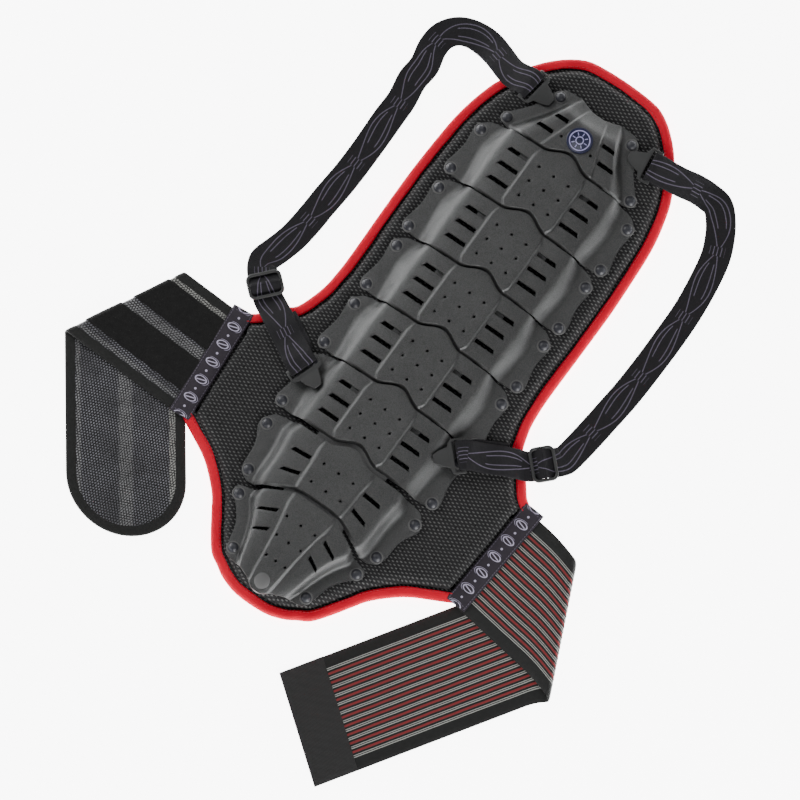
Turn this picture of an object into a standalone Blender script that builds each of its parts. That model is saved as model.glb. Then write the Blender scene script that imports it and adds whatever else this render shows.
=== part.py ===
"""Back protector: a foam pad with armour plates, two shoulder straps and a folded waist belt.

It lies on its flat back with the armour up. X runs across the back, Y up the spine to the neck, and
Z away from the wearer. The origin is the middle of the pad's flat underside, on the surface.
"""
import math

import bmesh
import bpy
from mathutils import Vector

# Clearances
TOUCH = 0.0003
PLATE_SEAM = 0.0012

# Foam pad and its edge
PAD_LENGTH = 0.5355
PAD_HALF_WIDTH = 0.140
PAD_THICKNESS = 0.013
PAD_EDGE_ROUND = 0.010
RIM_BOTTOM = 0.0034
RIM_THICKNESS = 0.0022
BINDING_WIDTH = 0.0085
BINDING_WALL = 0.0015

# Armour plates
PLATE_PITCH = 0.060
FIRST_SEAM = 0.180
PLATE_WALL = 0.002
CROWN_HEIGHT = 0.011
PANEL_RISE = 0.0015
PANEL_STEP = 0.003
PANEL_HALF = 0.0255
CREST_RISE = 0.008
TONGUE_HALF = 0.034
TONGUE_LENGTH = 0.018
TONGUE_DROP = 0.0028
SHOULDER_HALF = 0.050
FLANGE_HALF = 0.080
SLOT_WIDTH = 0.0037
SLOT_SLANT = 0.002
VENT_HOLE = 0.0025
RIVET_HEAD = 0.0085
RIVET_HEIGHT = 0.0026
BADGE_DIAMETER = 0.022
BADGE_THICKNESS = 0.0010

# Shoulder straps and their plastic
WEBBING_WIDTH = 0.025
WEBBING_THICKNESS = 0.0012
STRAP_REACH = 0.152
HOOK_WIDTH = 0.030
HOOK_THICKNESS = 0.0022
HOOK_BAR = 0.004
HOOK_LIFT = 0.002
SLIDE_LENGTH = 0.022
SLIDE_WIDTH = 0.030
SLIDE_THICKNESS = 0.0022
SLIDE_BAR = 0.003
SLIDE_LIFT = 0.0094

# Waist belt
TAPE_WIDTH = 0.019
TAPE_LENGTH = 0.103
TAPE_THICKNESS = 0.0008
TAPE_LIFT = 0.0007
BELT_WIDTH = 0.099
BELT_BINDING_WIDTH = 0.0088
BELT_BINDING_WALL = 0.0024
MESH_WALL = 0.0016
LOOP_BAND_WIDTH = 0.029
LOOP_BAND_WALL = 0.0007
LEFT_BELT_LENGTH = 0.283
LEFT_FOLD_RADIUS = 0.0015
ELASTIC_WALL = 0.002
RIGHT_BELT_LENGTH = 0.310
RIGHT_FOLD_RADIUS = 0.00175
PATCH_LENGTH = 0.038
PATCH_WALL = 0.0009

PAD_TOP = PAD_THICKNESS
FLANGE_TOP = PAD_TOP + 2 * TOUCH + PLATE_WALL
WING_TOP = FLANGE_TOP + CROWN_HEIGHT
RIM_TOP = RIM_BOTTOM + RIM_THICKNESS
TAPE_BOTTOM = RIM_TOP + TAPE_LIFT

for old in list(bpy.data.objects):
    bpy.data.objects.remove(old, do_unlink=True)
parts = bpy.data.collections.new("back_protector")
cutters = bpy.data.collections.new("cutters")
for group in (parts, cutters):
    bpy.context.scene.collection.children.link(group)


def material(name, colour, roughness, metallic=0.0):
    """A Principled material of one colour."""
    made = bpy.data.materials.new(name)
    made.use_nodes = True
    shader = made.node_tree.nodes["Principled BSDF"]
    shader.inputs["Base Color"].default_value = (*colour, 1.0)
    shader.inputs["Roughness"].default_value = roughness
    shader.inputs["Metallic"].default_value = metallic
    return made


SPACER_MESH = material("spacer_mesh", (0.035, 0.035, 0.038), 0.9)
RED_TAPE = material("red_binding_tape", (0.62, 0.02, 0.03), 0.7)
GREY_PLASTIC = material("brushed_grey_plastic", (0.10, 0.10, 0.10), 0.4, 0.3)
RIVET_PLASTIC = material("rivet_plastic", (0.05, 0.055, 0.06), 0.25)
WEBBING = material("black_webbing", (0.02, 0.02, 0.025), 0.85)
BLACK_PLASTIC = material("moulded_black_plastic", (0.03, 0.03, 0.032), 0.45)
RIBBON = material("purple_ribbon", (0.035, 0.03, 0.06), 0.7)
BELT_MESH = material("belt_mesh", (0.05, 0.05, 0.052), 0.6)
LOOP_PILE = material("loop_pile", (0.012, 0.012, 0.013), 0.95)
ELASTIC = material("ribbed_elastic", (0.03, 0.03, 0.03), 0.8)
BADGE_BLUE = material("badge_blue", (0.02, 0.03, 0.12), 0.35)


def add_part(name, mesh, finish):
    """Link one named sub-part that has this mesh."""
    part = bpy.data.objects.new(name, mesh)
    mesh.materials.append(finish)
    parts.objects.link(part)
    return part


def grid_mesh(name, rows):
    """An open surface through rows of points; a row may be shorter than the one before it."""
    mesh = bpy.data.meshes.new(name)
    bm = bmesh.new()
    lines = [[bm.verts.new(point) for point in row] for row in rows]
    for upper, lower in zip(lines, lines[1:]):
        skip = (len(upper) - len(lower)) // 2
        upper = upper[skip:skip + len(lower)]
        for i in range(len(lower) - 1):
            bm.faces.new((upper[i], lower[i], lower[i + 1], upper[i + 1]))
    bm.to_mesh(mesh)
    bm.free()
    return mesh


def solidify(part, wall, side):
    """Give an open surface its wall: side -1 grows it inwards, 0 to both sides."""
    thicken = part.modifiers.new("wall", "SOLIDIFY")
    thicken.thickness = wall
    thicken.offset = side
    thicken.use_even_offset = True


def closed_loft(name, sections, finish):
    """A solid through closed sections, capped at its two ends."""
    mesh = bpy.data.meshes.new(name)
    bm = bmesh.new()
    loops = [[bm.verts.new(point) for point in section] for section in sections]
    for near, far in zip(loops, loops[1:]):
        for i in range(len(near)):
            j = (i + 1) % len(near)
            bm.faces.new((near[i], near[j], far[j], far[i]))
    bm.faces.new(loops[0][::-1])
    bm.faces.new(loops[-1])
    bmesh.ops.recalc_face_normals(bm, faces=bm.faces)
    bm.to_mesh(mesh)
    bm.free()
    return add_part(name, mesh, finish)


def prism_into(bm, outline, bottom, top):
    """Add an upright prism on a plan outline to a mesh under construction."""
    base = bm.faces.new([bm.verts.new((x, y, bottom)) for x, y in outline])
    base.normal_update()
    if base.normal.z > 0:
        base.normal_flip()
    raised = bmesh.ops.extrude_face_region(bm, geom=[base], use_keep_orig=True)
    lifted = [item for item in raised["geom"] if isinstance(item, bmesh.types.BMVert)]
    bmesh.ops.translate(bm, verts=lifted, vec=(0, 0, top - bottom))


def prism_part(name, outline, bottom, top, finish):
    """A flat sub-part of one plan outline."""
    mesh = bpy.data.meshes.new(name)
    bm = bmesh.new()
    prism_into(bm, outline, bottom, top)
    bmesh.ops.recalc_face_normals(bm, faces=bm.faces)
    bm.to_mesh(mesh)
    bm.free()
    return add_part(name, mesh, finish)


def cut(part, outlines, bottom, top):
    """Cut upright holes of these plan outlines through a part."""
    mesh = bpy.data.meshes.new(part.name + "_holes")
    bm = bmesh.new()
    for outline in outlines:
        prism_into(bm, outline, bottom, top)
    bmesh.ops.recalc_face_normals(bm, faces=bm.faces)
    bm.to_mesh(mesh)
    bm.free()
    cutter = bpy.data.objects.new(mesh.name, mesh)
    cutter.hide_render = True
    cutter.display_type = "WIRE"
    cutters.objects.link(cutter)
    pierce = part.modifiers.new("holes", "BOOLEAN")
    pierce.operation = "DIFFERENCE"
    pierce.solver = "EXACT"
    pierce.object = cutter


def circle(centre, radius, sides=6):
    """Plan outline of a round hole."""
    turn = 2 * math.pi / sides
    return [(centre[0] + radius * math.cos(i * turn), centre[1] + radius * math.sin(i * turn))
            for i in range(sides)]


def unit(degrees):
    """Plan direction of a heading, counted from +X towards +Y."""
    return Vector((math.cos(math.radians(degrees)), math.sin(math.radians(degrees))))


def across(direction):
    """Plan direction to the left of another."""
    return Vector((-direction.y, direction.x))


# Foam pad. Half outline from the neck round to the tail: shares of half width and of half length.
PAD_HALF_OUTLINE = (
    (0.145, 0.997), (0.29, 0.978), (0.45, 0.897), (0.586, 0.784), (0.64, 0.71), (0.68, 0.616),
    (0.70, 0.486), (0.714, 0.373), (0.714, 0.224), (0.714, 0.075), (0.722, 0.0), (0.74, -0.067),
    (0.80, -0.149), (0.871, -0.179), (0.93, -0.217), (0.972, -0.243), (1.050, -0.268),
    (1.000, -0.628), (0.914, -0.653), (0.857, -0.668), (0.714, -0.709), (0.571, -0.776),
    (0.50, -0.829), (0.429, -0.885), (0.357, -0.933), (0.286, -0.956), (0.214, -0.978), (0.093, -0.996))
SEAM_TOP_ROW = 16
SEAM_FOOT_ROW = 17


def pad_outline():
    """The pad's outer edge, clockwise from the neck."""
    half = [Vector((x * PAD_HALF_WIDTH, y * PAD_LENGTH / 2)) for x, y in PAD_HALF_OUTLINE]
    return half + [Vector((-p.x, p.y)) for p in reversed(half)]


def inset(outline, distance, closed=True, at_seams=0.0):
    """A clockwise outline moved inwards, with mitred corners, and further in at the seams' ends."""
    count = len(outline)
    seams = (SEAM_TOP_ROW, SEAM_FOOT_ROW, count - 1 - SEAM_TOP_ROW, count - 1 - SEAM_FOOT_ROW)
    moved = []
    for i, point in enumerate(outline):
        before = outline[i - 1] if closed or i else point
        after = outline[(i + 1) % count] if closed or i < count - 1 else point
        first = (point - before).normalized() if point != before else (after - point).normalized()
        second = (after - point).normalized() if after != point else first
        inwards = -(across(first) + across(second)).normalized()
        depth = distance + (at_seams if i in seams else 0.0)
        moved.append(point + inwards * depth / max(0.5, inwards.dot(-across(first))))
    return moved


def foam_pad():
    """The pad: a flat back, soft sides and a rim pressed thin for the binding and the side tapes."""
    groove = BINDING_WIDTH + TOUCH
    edge = BINDING_WALL + TOUCH
    under_tape = TAPE_WIDTH / 2 + edge + TOUCH - groove
    levels = (
        (groove + 0.6 * PAD_EDGE_ROUND, 0.0), (groove + 0.15 * PAD_EDGE_ROUND, 0.1 * PAD_EDGE_ROUND),
        (groove, RIM_BOTTOM), (edge, RIM_BOTTOM), (edge, RIM_TOP), (groove, RIM_TOP),
        (groove + 0.12 * PAD_EDGE_ROUND, PAD_TOP * 0.75),
        (groove + 0.45 * PAD_EDGE_ROUND, PAD_TOP * 0.94), (groove + PAD_EDGE_ROUND, PAD_TOP))
    sections = []
    for distance, height in levels:
        further = under_tape if distance > edge else 0.0
        moved = inset(pad_outline(), distance, at_seams=further)
        sections.append([(p.x, p.y, height) for p in moved])
    closed_loft("back_pad", sections, SPACER_MESH)


def binding_section(point, inwards):
    """The folded tape's C-shaped section at one point of the pad's edge."""
    low = RIM_BOTTOM - TOUCH - BINDING_WALL
    high = RIM_TOP + TOUCH + BINDING_WALL
    wall = BINDING_WALL
    profile = (
        (BINDING_WIDTH, low), (wall, low), (0, low + wall), (0, high - wall), (wall, high),
        (BINDING_WIDTH, high), (BINDING_WIDTH, high - wall), (wall, high - wall), (wall, low + wall),
        (BINDING_WIDTH, low + wall))
    return [(point.x + inwards.x * d, point.y + inwards.y * d, z) for d, z in profile]


def binding(name, run):
    """A run of red tape folded over the pad's rim."""
    moved = inset(run, BINDING_WIDTH, closed=False)
    sections = []
    for point, inner in zip(run, moved):
        sections.append(binding_section(point, (inner - point) / BINDING_WIDTH))
    closed_loft(name, sections, RED_TAPE)


def bindings():
    """Two runs of tape: over the neck, and round the tail, each ending at the side tapes."""
    outline = pad_outline()
    count = len(outline)
    neck_half = outline[:SEAM_TOP_ROW]
    binding("pad_binding_upper", [Vector((-p.x, p.y)) for p in reversed(neck_half)] + neck_half)
    tail = outline[SEAM_FOOT_ROW + 1:count - SEAM_FOOT_ROW - 1]
    binding("pad_binding_lower", tail)


# Armour plates. Columns of a plate's half: centre, mid panel, panel top edge, panel foot, tongue
# edge, shoulder, foot of the slope, mid flange, outer edge. Shares of FLANGE_HALF.
def crest(x):
    """Rise of a plate's upper edge over the raised centre panel."""
    reach = PANEL_HALF * 0.88
    return CREST_RISE * (1 + math.cos(math.pi * min(x / reach, 1))) / 2


def ramp(a, b, share):
    """Value between two others."""
    return a + (b - a) * share


def plate_surface(rows):
    """Outer surface of a plate from its half rows, with a tongue on the shorter last row."""
    return [[(-x, y, z) for x, y, z in reversed(half[1:])] + half for half in rows]


def column_heights(rise, panel):
    """Heights of a row's columns: rise is the share of the crown, panel that of the centre panel."""
    wing = FLANGE_TOP + CROWN_HEIGHT * rise
    top = wing + PANEL_RISE * panel
    return [top, top, top, wing, wing, ramp(FLANGE_TOP, wing, 0.93), FLANGE_TOP, FLANGE_TOP, FLANGE_TOP]


def tongue_heights(count, rise=1.0):
    """Heights of the tongue, which runs below the next plate."""
    return [FLANGE_TOP + CROWN_HEIGHT * rise - TONGUE_DROP] * count


def flank_height(out):
    """Height of a plate this far out from the spine, between its flange and its crown."""
    foot = 0.82 * FLANGE_HALF
    share = (foot - out) / (foot - SHOULDER_HALF)
    return FLANGE_TOP + CROWN_HEIGHT * min(1.0, max(0.0, share))


def back_plate_rows(top_seam):
    """Half rows of one of the five like plates in the middle of the back."""
    foot = {0.0: 0.74, 0.17: 0.79, 0.42: 0.82, 0.86: 0.785, 0.95: 0.78, 1.0: 0.775}
    outer = {0.0: 0.955, 0.17: 0.988, 0.42: 0.988, 0.86: 1.018, 0.95: 1.012, 1.0: 0.985}
    rows = []
    for share in foot:
        panel = PANEL_HALF * (0.92 if share < 0.1 else 1.0 if share < 0.9 else 0.9)
        xs = [0, 0.45 * panel, panel - PANEL_STEP, panel, TONGUE_HALF, SHOULDER_HALF,
              foot[share] * FLANGE_HALF, 0, outer[share] * FLANGE_HALF]
        xs[7] = ramp(xs[6], xs[8], 0.65)
        level = top_seam - share * PLATE_PITCH
        ys = [level] * len(xs)
        if share == 0.0:
            ys = [level - PLATE_SEAM / 2 + crest(x) for x in xs]
            ys[6] -= 0.01 * PLATE_PITCH
            ys[7] -= 0.05 * PLATE_PITCH
            ys[8] -= 0.13 * PLATE_PITCH
        if share > 0.5:
            back = PLATE_SEAM / 2 if share == 1.0 else 0
            follow = 0.8 if share < 0.9 else 1.0
            ys = [level + back + follow * crest(x) for x in xs]
            ys[7] += 0.01 * PLATE_PITCH
            ys[8] += (0.05 if share == 1.0 else 0.035 if share > 0.9 else 0.0) * PLATE_PITCH
        zs = column_heights(1.0, 0.3 if share == 0.0 else 1.0)
        if share == 1.0:
            zs[:5] = tongue_heights(5)
        rows.append(list(zip(xs, ys, zs)))
    last = rows[-1][:5]
    rows.append([(x, top_seam - PLATE_PITCH - TONGUE_LENGTH, z) for x, y, z in last])
    return rows


def tapered_rows(top, bottom, shares, outer, rises, panels):
    """Half rows of a plate whose upper and lower edges differ: points are shares of FLANGE_HALF."""
    rows = []
    for share, edge, rise, panel in zip(shares, outer, rises, panels):
        half = []
        for column, (a, b) in enumerate(zip(top, bottom)):
            x = ramp(a[0], b[0], share) + edge * column / (len(top) - 1)
            half.append((x * FLANGE_HALF, ramp(a[1], b[1], share) * PLATE_PITCH))
        zs = column_heights(rise, panel)
        rows.append([(x, y, z) for (x, y), z in zip(half, zs)])
    return rows


def plate(name, rows, slots, holes):
    """One armour plate with its vents cut through."""
    part = add_part(name, grid_mesh(name, plate_surface(rows)), GREY_PLASTIC)
    solidify(part, PLATE_WALL, -1)
    outlines = [circle((sign * x, y), VENT_HOLE / 2) for x, y in holes for sign in ((1, -1) if x else (1,))]
    for slot in slots:
        outlines.append(slot)
        outlines.append([(-x, y) for x, y in slot])
    cut(part, outlines, PAD_TOP + TOUCH, WING_TOP + 2 * PANEL_RISE)


def slot(inner, outer):
    """Plan outline of a slot between two points, its outer end slanted."""
    half = SLOT_WIDTH / 2
    return [(inner[0], inner[1] - half), (outer[0] + SLOT_SLANT, outer[1] - half),
            (outer[0], outer[1] + half), (inner[0], inner[1] + half)]


def back_plate(number, top_seam):
    """Plates 2 to 6."""
    slots = []
    for row in (0.25, 0.485, 0.73):
        y = top_seam - row * PLATE_PITCH
        slots.append(slot((1.031 * PANEL_HALF, y), (ramp(TONGUE_HALF, SHOULDER_HALF, 0.594), y)))
    columns = (0, 0.57 * PANEL_HALF)
    holes = [(x, top_seam - row * PLATE_PITCH) for row in (0.24, 0.48, 0.725) for x in columns]
    plate(f"plate_{number}", back_plate_rows(top_seam), slots, holes)
    seats = ((0.92, 0.225), (0.94, 0.905))
    return [(x * FLANGE_HALF, top_seam - y * PLATE_PITCH) for x, y in seats]


def neck_plate():
    """Plate 1: narrow at the neck, with the badge on its raised centre."""
    seam = FIRST_SEAM
    top = ((0, 0.85), (0.05, 0.85), (0.09, 0.86), (0.12, 0.87), (0.17, 0.89), (0.22, 0.915),
           (0.27, 0.925), (0.42, 0.915), (0.51, 0.81))
    bottom = ((0, 0.01), (0.14, 0.01), (0.28, 0.01), (0.319, 0.01), (0.425, 0.01), (0.53, 0.01),
              (0.69, 0.01), (0.75, 0.02), (0.81, 0.06))
    shares = (0.0, 0.15, 0.38, 0.84, 0.955, 1.0)
    rows = tapered_rows(top, bottom, shares, (0.0, 0.01, 0.0, 0.05, 0.05, 0.0),
                        (0.1, 0.45, 0.93, 1.0, 1.0, 1.0), (0.2, 0.8, 1.0, 1.0, 1.0, 1.0))
    rows = [[(x, y + seam, z) for x, y, z in row] for row in rows]
    for row, follow in zip(rows[-3:], (0.8, 1.0, 1.0)):
        row[:] = [(x, y + follow * crest(x), z) for x, y, z in row]
    rows[-1][:5] = [(x, y, z) for (x, y, _), z in zip(rows[-1], tongue_heights(5))]
    rows.append([(x, seam - TONGUE_LENGTH, z) for x, y, z in rows[-1][:5]])
    pitch = PLATE_PITCH
    slots = []
    for inner, outer, y in ((0.281, 0.456, 0.275), (0.2125, 0.35, 0.515)):
        slots.append(slot((inner * FLANGE_HALF, seam + y * pitch), (outer * FLANGE_HALF, seam + y * pitch)))
    holes = [(0.57 * PANEL_HALF, seam + 0.29 * pitch)]
    plate("plate_1", rows, slots, holes)
    seats = ((0.445, 0.78), (0.77, 0.125))
    return [(x * FLANGE_HALF, seam + y * pitch) for x, y in seats]


def waist_plate(top_seam):
    """Plate 7: its sides taper to the tail."""
    top = ((0, -0.01), (0.14, -0.01), (0.28, -0.01), (0.319, -0.01), (0.39, -0.01), (0.60, -0.01),
           (0.73, -0.02), (0.90, -0.06), (0.955, -0.14))
    bottom = ((0, -0.785), (0.11, -0.785), (0.24, -0.80), (0.285, -0.81), (0.37, -0.86), (0.56, -0.985),
              (0.67, -1.045), (0.74, -1.05), (0.80, -1.02))
    shares = (0.0, 0.17, 0.45, 0.84, 0.955, 1.0)
    rows = tapered_rows(top, bottom, shares, (0.0, 0.07, 0.045, 0.055, 0.04, 0.0),
                        (1.0, 1.0, 1.0, 1.0, 1.0, 1.0), (0.3, 1.0, 1.0, 1.0, 1.0, 1.0))
    rows = [[(x, y + top_seam, z) for x, y, z in row] for row in rows]
    rows[0] = [(x, y + crest(x), z) for x, y, z in rows[0]]
    rows[-1][:5] = [(x, y, z) for (x, y, _), z in zip(rows[-1], tongue_heights(5))]
    rows.append([(x, y - 0.8 * TONGUE_LENGTH, z) for x, y, z in rows[-1][:5]])
    slots = []
    for inner, outer in (((0.33, -0.32), (0.53, -0.345)), ((0.33, -0.585), (0.51, -0.66))):
        ends = [(x * FLANGE_HALF, top_seam + y * PLATE_PITCH) for x, y in (inner, outer)]
        slots.append(slot(*ends))
    holes = [(x * PANEL_HALF, top_seam + y * PLATE_PITCH) for y in (-0.285, -0.59) for x in (0, 0.57)]
    plate("plate_7", rows, slots, holes)
    seats = ((0.925, -0.235), (0.80, -0.905))
    return [(x * FLANGE_HALF, top_seam + y * PLATE_PITCH) for x, y in seats]


def tail_plate(top_seam):
    """Plate 8: the pointed tail, which slopes down to the pad."""
    top = ((0, -0.875), (0.11, -0.875), (0.23, -0.88), (0.27, -0.90), (0.35, -0.95), (0.53, -1.075),
           (0.62, -1.145), (0.71, -1.175), (0.79, -1.205))
    bottom = ((0, -2.30), (0.04, -2.30), (0.10, -2.26), (0.14, -2.21), (0.20, -2.18), (0.28, -2.14),
              (0.34, -2.12), (0.42, -2.11), (0.475, -2.09))
    shares = (0.0, 0.10, 0.30, 0.55, 0.85, 1.0)
    rows = tapered_rows(top, bottom, shares, (0.0, 0.05, 0.0, -0.02, 0.0, 0.0),
                        (1.0, 1.0, 1.0, 0.95, 0.7, 0.45), (0.3, 1.0, 1.0, 1.0, 1.0, 0.6))
    rows = [[(x, y + top_seam, z) for x, y, z in row] for row in rows]
    slots = []
    for inner, outer in (((0.29, -1.225), (0.455, -1.34)), ((0.255, -1.51), (0.385, -1.61))):
        ends = [(x * FLANGE_HALF, top_seam + y * PLATE_PITCH) for x, y in (inner, outer)]
        slots.append(slot(*ends))
    holes = [(x * PANEL_HALF, top_seam + y * PLATE_PITCH)
             for y, side in ((-1.225, 0.55), (-1.515, 0.47), (-1.82, 0.37)) for x in (0, side)]
    plate("plate_8", rows, slots, holes)
    seats = ((0.735, -1.305), (0.455, -1.965))
    return [(x * FLANGE_HALF, top_seam + y * PLATE_PITCH) for x, y in seats]


def rivet(name, x, y):
    """A domed rivet head on a plate's flange, turned about its axis."""
    mesh = bpy.data.meshes.new(name)
    radius = RIVET_HEAD / 2
    bm = bmesh.new()
    profile = [(0, RIVET_HEIGHT), (radius * 0.62, RIVET_HEIGHT * 0.82), (radius, RIVET_HEIGHT * 0.25),
               (radius, 0), (0, 0)]
    points = [bm.verts.new((r, 0, z)) for r, z in profile]
    for a, b in zip(points, points[1:]):
        bm.edges.new((a, b))
    bm.to_mesh(mesh)
    bm.free()
    part = add_part(name, mesh, RIVET_PLASTIC)
    part.location = (x, y, FLANGE_TOP + TOUCH)
    turn = part.modifiers.new("turn", "SCREW")
    turn.steps = 8
    turn.render_steps = 8
    turn.use_merge_vertices = True
    turn.merge_threshold = 0.00005


def armour():
    """The eight plates, their rivets and the badge."""
    seats = [neck_plate()]
    for index in range(5):
        seats.append(back_plate(index + 2, FIRST_SEAM - index * PLATE_PITCH))
    last_seam = FIRST_SEAM - 5 * PLATE_PITCH
    seats.append(waist_plate(last_seam - 0.05 * PLATE_PITCH))
    seats.append(tail_plate(last_seam))
    for number, places in enumerate(seats, start=1):
        for height, (x, y) in zip(("upper", "lower"), places):
            rivet(f"rivet_{number}_{height}_right", x, y)
            rivet(f"rivet_{number}_{height}_left", -x, y)
    prism_part("plate_badge", circle((0, FIRST_SEAM + 0.38 * PLATE_PITCH), BADGE_DIAMETER / 2, 20),
               WING_TOP + PANEL_RISE + TOUCH, WING_TOP + PANEL_RISE + TOUCH + BADGE_THICKNESS, BADGE_BLUE)


# Plastic hooks and slides of the shoulder straps.
HOOK_STATIONS = (
    (-0.50, 1.0), (0.50, 1.0), (1.60, 1.0), (2.20, 0.92), (2.60, 0.60), (4.60, 0.42), (5.80, 0.22))


def hook(name, bar, heading, height, rise):
    """A hook: a slotted head for the webbing, and a tongue that grips over a plate's edge.

    bar is the plan centre of its outer bar, height the underside there and rise the tongue's lift.
    """
    forward = unit(heading)
    side = across(forward)
    last = HOOK_STATIONS[-1][0]
    rows = []
    for bars, width in HOOK_STATIONS:
        centre = bar + forward * bars * HOOK_BAR
        lift = height + HOOK_THICKNESS + rise * max(0.0, (bars - 2.2) / (last - 2.2))
        row = []
        for share in (-1.0, -0.6, 0.6, 1.0):
            point = centre + side * share * width * HOOK_WIDTH / 2
            row.append((point.x, point.y, lift))
        rows.append(row)
    part = add_part(name, grid_mesh(name, rows), BLACK_PLASTIC)
    solidify(part, HOOK_THICKNESS, -1)
    half = WEBBING_WIDTH / 2 + 3 * TOUCH
    near = bar + forward * 0.5 * HOOK_BAR
    far = bar + forward * 1.6 * HOOK_BAR
    window = [near + side * half, near - side * half, far - side * half, far + side * half]
    cut(part, [[(p.x, p.y) for p in window]], height - HOOK_THICKNESS, height + 3 * HOOK_THICKNESS)


def slide(name, centre, heading):
    """A three-bar slide, lifted off the surface by the webbing that passes under its ends."""
    forward = unit(heading)
    side = across(forward)

    def window(start, end, half):
        corners = ((start, half), (start, -half), (end, -half), (end, half))
        points = [centre + forward * along + side * out for along, out in corners]
        return [(p.x, p.y) for p in points]

    length = SLIDE_LENGTH / 2
    width = SLIDE_WIDTH / 2
    corner = SLIDE_BAR * 0.6
    plan = []
    for along, out in ((1, 1), (-1, 1), (-1, -1), (1, -1)):
        tips = [(along * (length - corner), out * width), (along * length, out * (width - corner))]
        plan.extend(tips if along != out else tips[::-1])
    outline = [centre + forward * along + side * out for along, out in plan]
    part = prism_part(name, [(p.x, p.y) for p in outline], SLIDE_LIFT, SLIDE_LIFT + SLIDE_THICKNESS,
                      BLACK_PLASTIC)
    half = WEBBING_WIDTH / 2 + 2 * TOUCH
    windows = [window(SLIDE_BAR / 2, length - SLIDE_BAR, half), window(SLIDE_BAR - length, -SLIDE_BAR / 2, half)]
    cut(part, windows, SLIDE_LIFT - SLIDE_THICKNESS, SLIDE_LIFT + 2 * SLIDE_THICKNESS)


def webbing(name, path):
    """A ribbon along a path of points; flat turns bend it in plan."""
    rows = []
    side = None
    for i, point in enumerate(path):
        before = path[max(i - 1, 0)]
        after = path[min(i + 1, len(path) - 1)]
        run = (after - before).to_2d()
        if run.length > 0.67 * WEBBING_THICKNESS:
            turned = across(run.normalized())
            side = turned if side is None or turned.dot(side) > 0 else -turned
        offset = Vector((side.x, side.y, 0)) * WEBBING_WIDTH / 2
        rows.append([point + offset, point - offset])
    part = add_part(name, grid_mesh(name, rows), WEBBING)
    solidify(part, WEBBING_THICKNESS, 0)


# Shoulder runs from the upper hook to the slide. Each row: share of the reach out from the spine,
# share of the way down from the hook's bar to the slide, height over the surface in thicknesses.
LEFT_RUN = (
    (0.530, 0.000, 11.5), (0.650, -0.025, 7.0), (0.740, -0.040, 3.0), (0.840, -0.040, 1.0),
    (0.920, -0.020, 1.0), (0.968, 0.020, 1.0), (0.975, 0.070, 1.2), (0.955, 0.130, 0.7),
    (0.962, 0.190, 0.7), (0.945, 0.260, 0.7), (0.945, 0.330, 0.7), (0.942, 0.440, 0.7),
    (0.944, 0.550, 0.7), (0.958, 0.660, 0.7), (0.968, 0.750, 0.7), (0.982, 0.820, 1.2),
    (1.008, 0.880, 2.6), (1.031, 0.928, 4.6), (1.022, 0.952, 5.8))
RIGHT_RUN = (
    (0.560, -0.015, 10.5), (0.650, -0.030, 6.0), (0.730, -0.035, 2.0), (0.800, -0.028, 0.8),
    (0.862, 0.010, 0.7), (0.912, 0.060, 0.7), (0.952, 0.120, 0.7), (0.980, 0.210, 0.7),
    (0.998, 0.310, 0.7), (1.002, 0.410, 0.7), (1.000, 0.520, 0.7), (0.992, 0.640, 0.7),
    (0.974, 0.750, 0.8), (0.958, 0.840, 1.5), (0.946, 0.900, 3.0),
    (0.9355, 0.9417, 4.6), (0.924, 0.956, 5.7))
# Lower run from the slide to the lower hook: share of the way, height as a share of the hook's.
LOWER_RUN = ((0.07, 0.36), (0.14, 0.44), (0.22, 0.56), (0.34, 0.67), (0.47, 0.74), (0.64, 0.77),
             (0.80, 0.87), (0.92, 0.975))


def bar_loop(bar, forward, height, tail):
    """Path of the webbing round a hook's bar, from its tail below to the layer above."""
    gap = HOOK_THICKNESS / 2 + 2 * TOUCH + WEBBING_THICKNESS / 2
    middle = height + HOOK_THICKNESS / 2
    turn = HOOK_BAR / 2 + 2 * TOUCH + WEBBING_THICKNESS / 2
    profile = ((-tail, -gap), (turn * 0.69, -gap), (turn * 0.91, -gap * 0.87), (turn, -gap * 0.55),
               (turn, gap * 0.55), (turn * 0.91, gap * 0.87), (turn * 0.69, gap), (-turn, gap))
    points = []
    for along, lift in profile:
        plan = bar + forward * along
        points.append(Vector((plan.x, plan.y, middle + lift)))
    return points


def slide_weave(centre, forward):
    """Path of the webbing through a slide: under its first bar, over the middle, under the last."""
    under = SLIDE_LIFT - TOUCH - WEBBING_THICKNESS / 2
    over = SLIDE_LIFT + SLIDE_THICKNESS + TOUCH + WEBBING_THICKNESS / 2
    inner = SLIDE_LENGTH / 2 - SLIDE_BAR - 2 * TOUCH
    middle = SLIDE_BAR / 2 + TOUCH
    points = []
    for along, height in ((-SLIDE_LENGTH / 2, under), (-inner, under), (-middle, over), (middle, over),
                          (inner, under), (SLIDE_LENGTH / 2, under)):
        plan = centre + forward * along
        points.append(Vector((plan.x, plan.y, height)))
    return points


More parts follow.
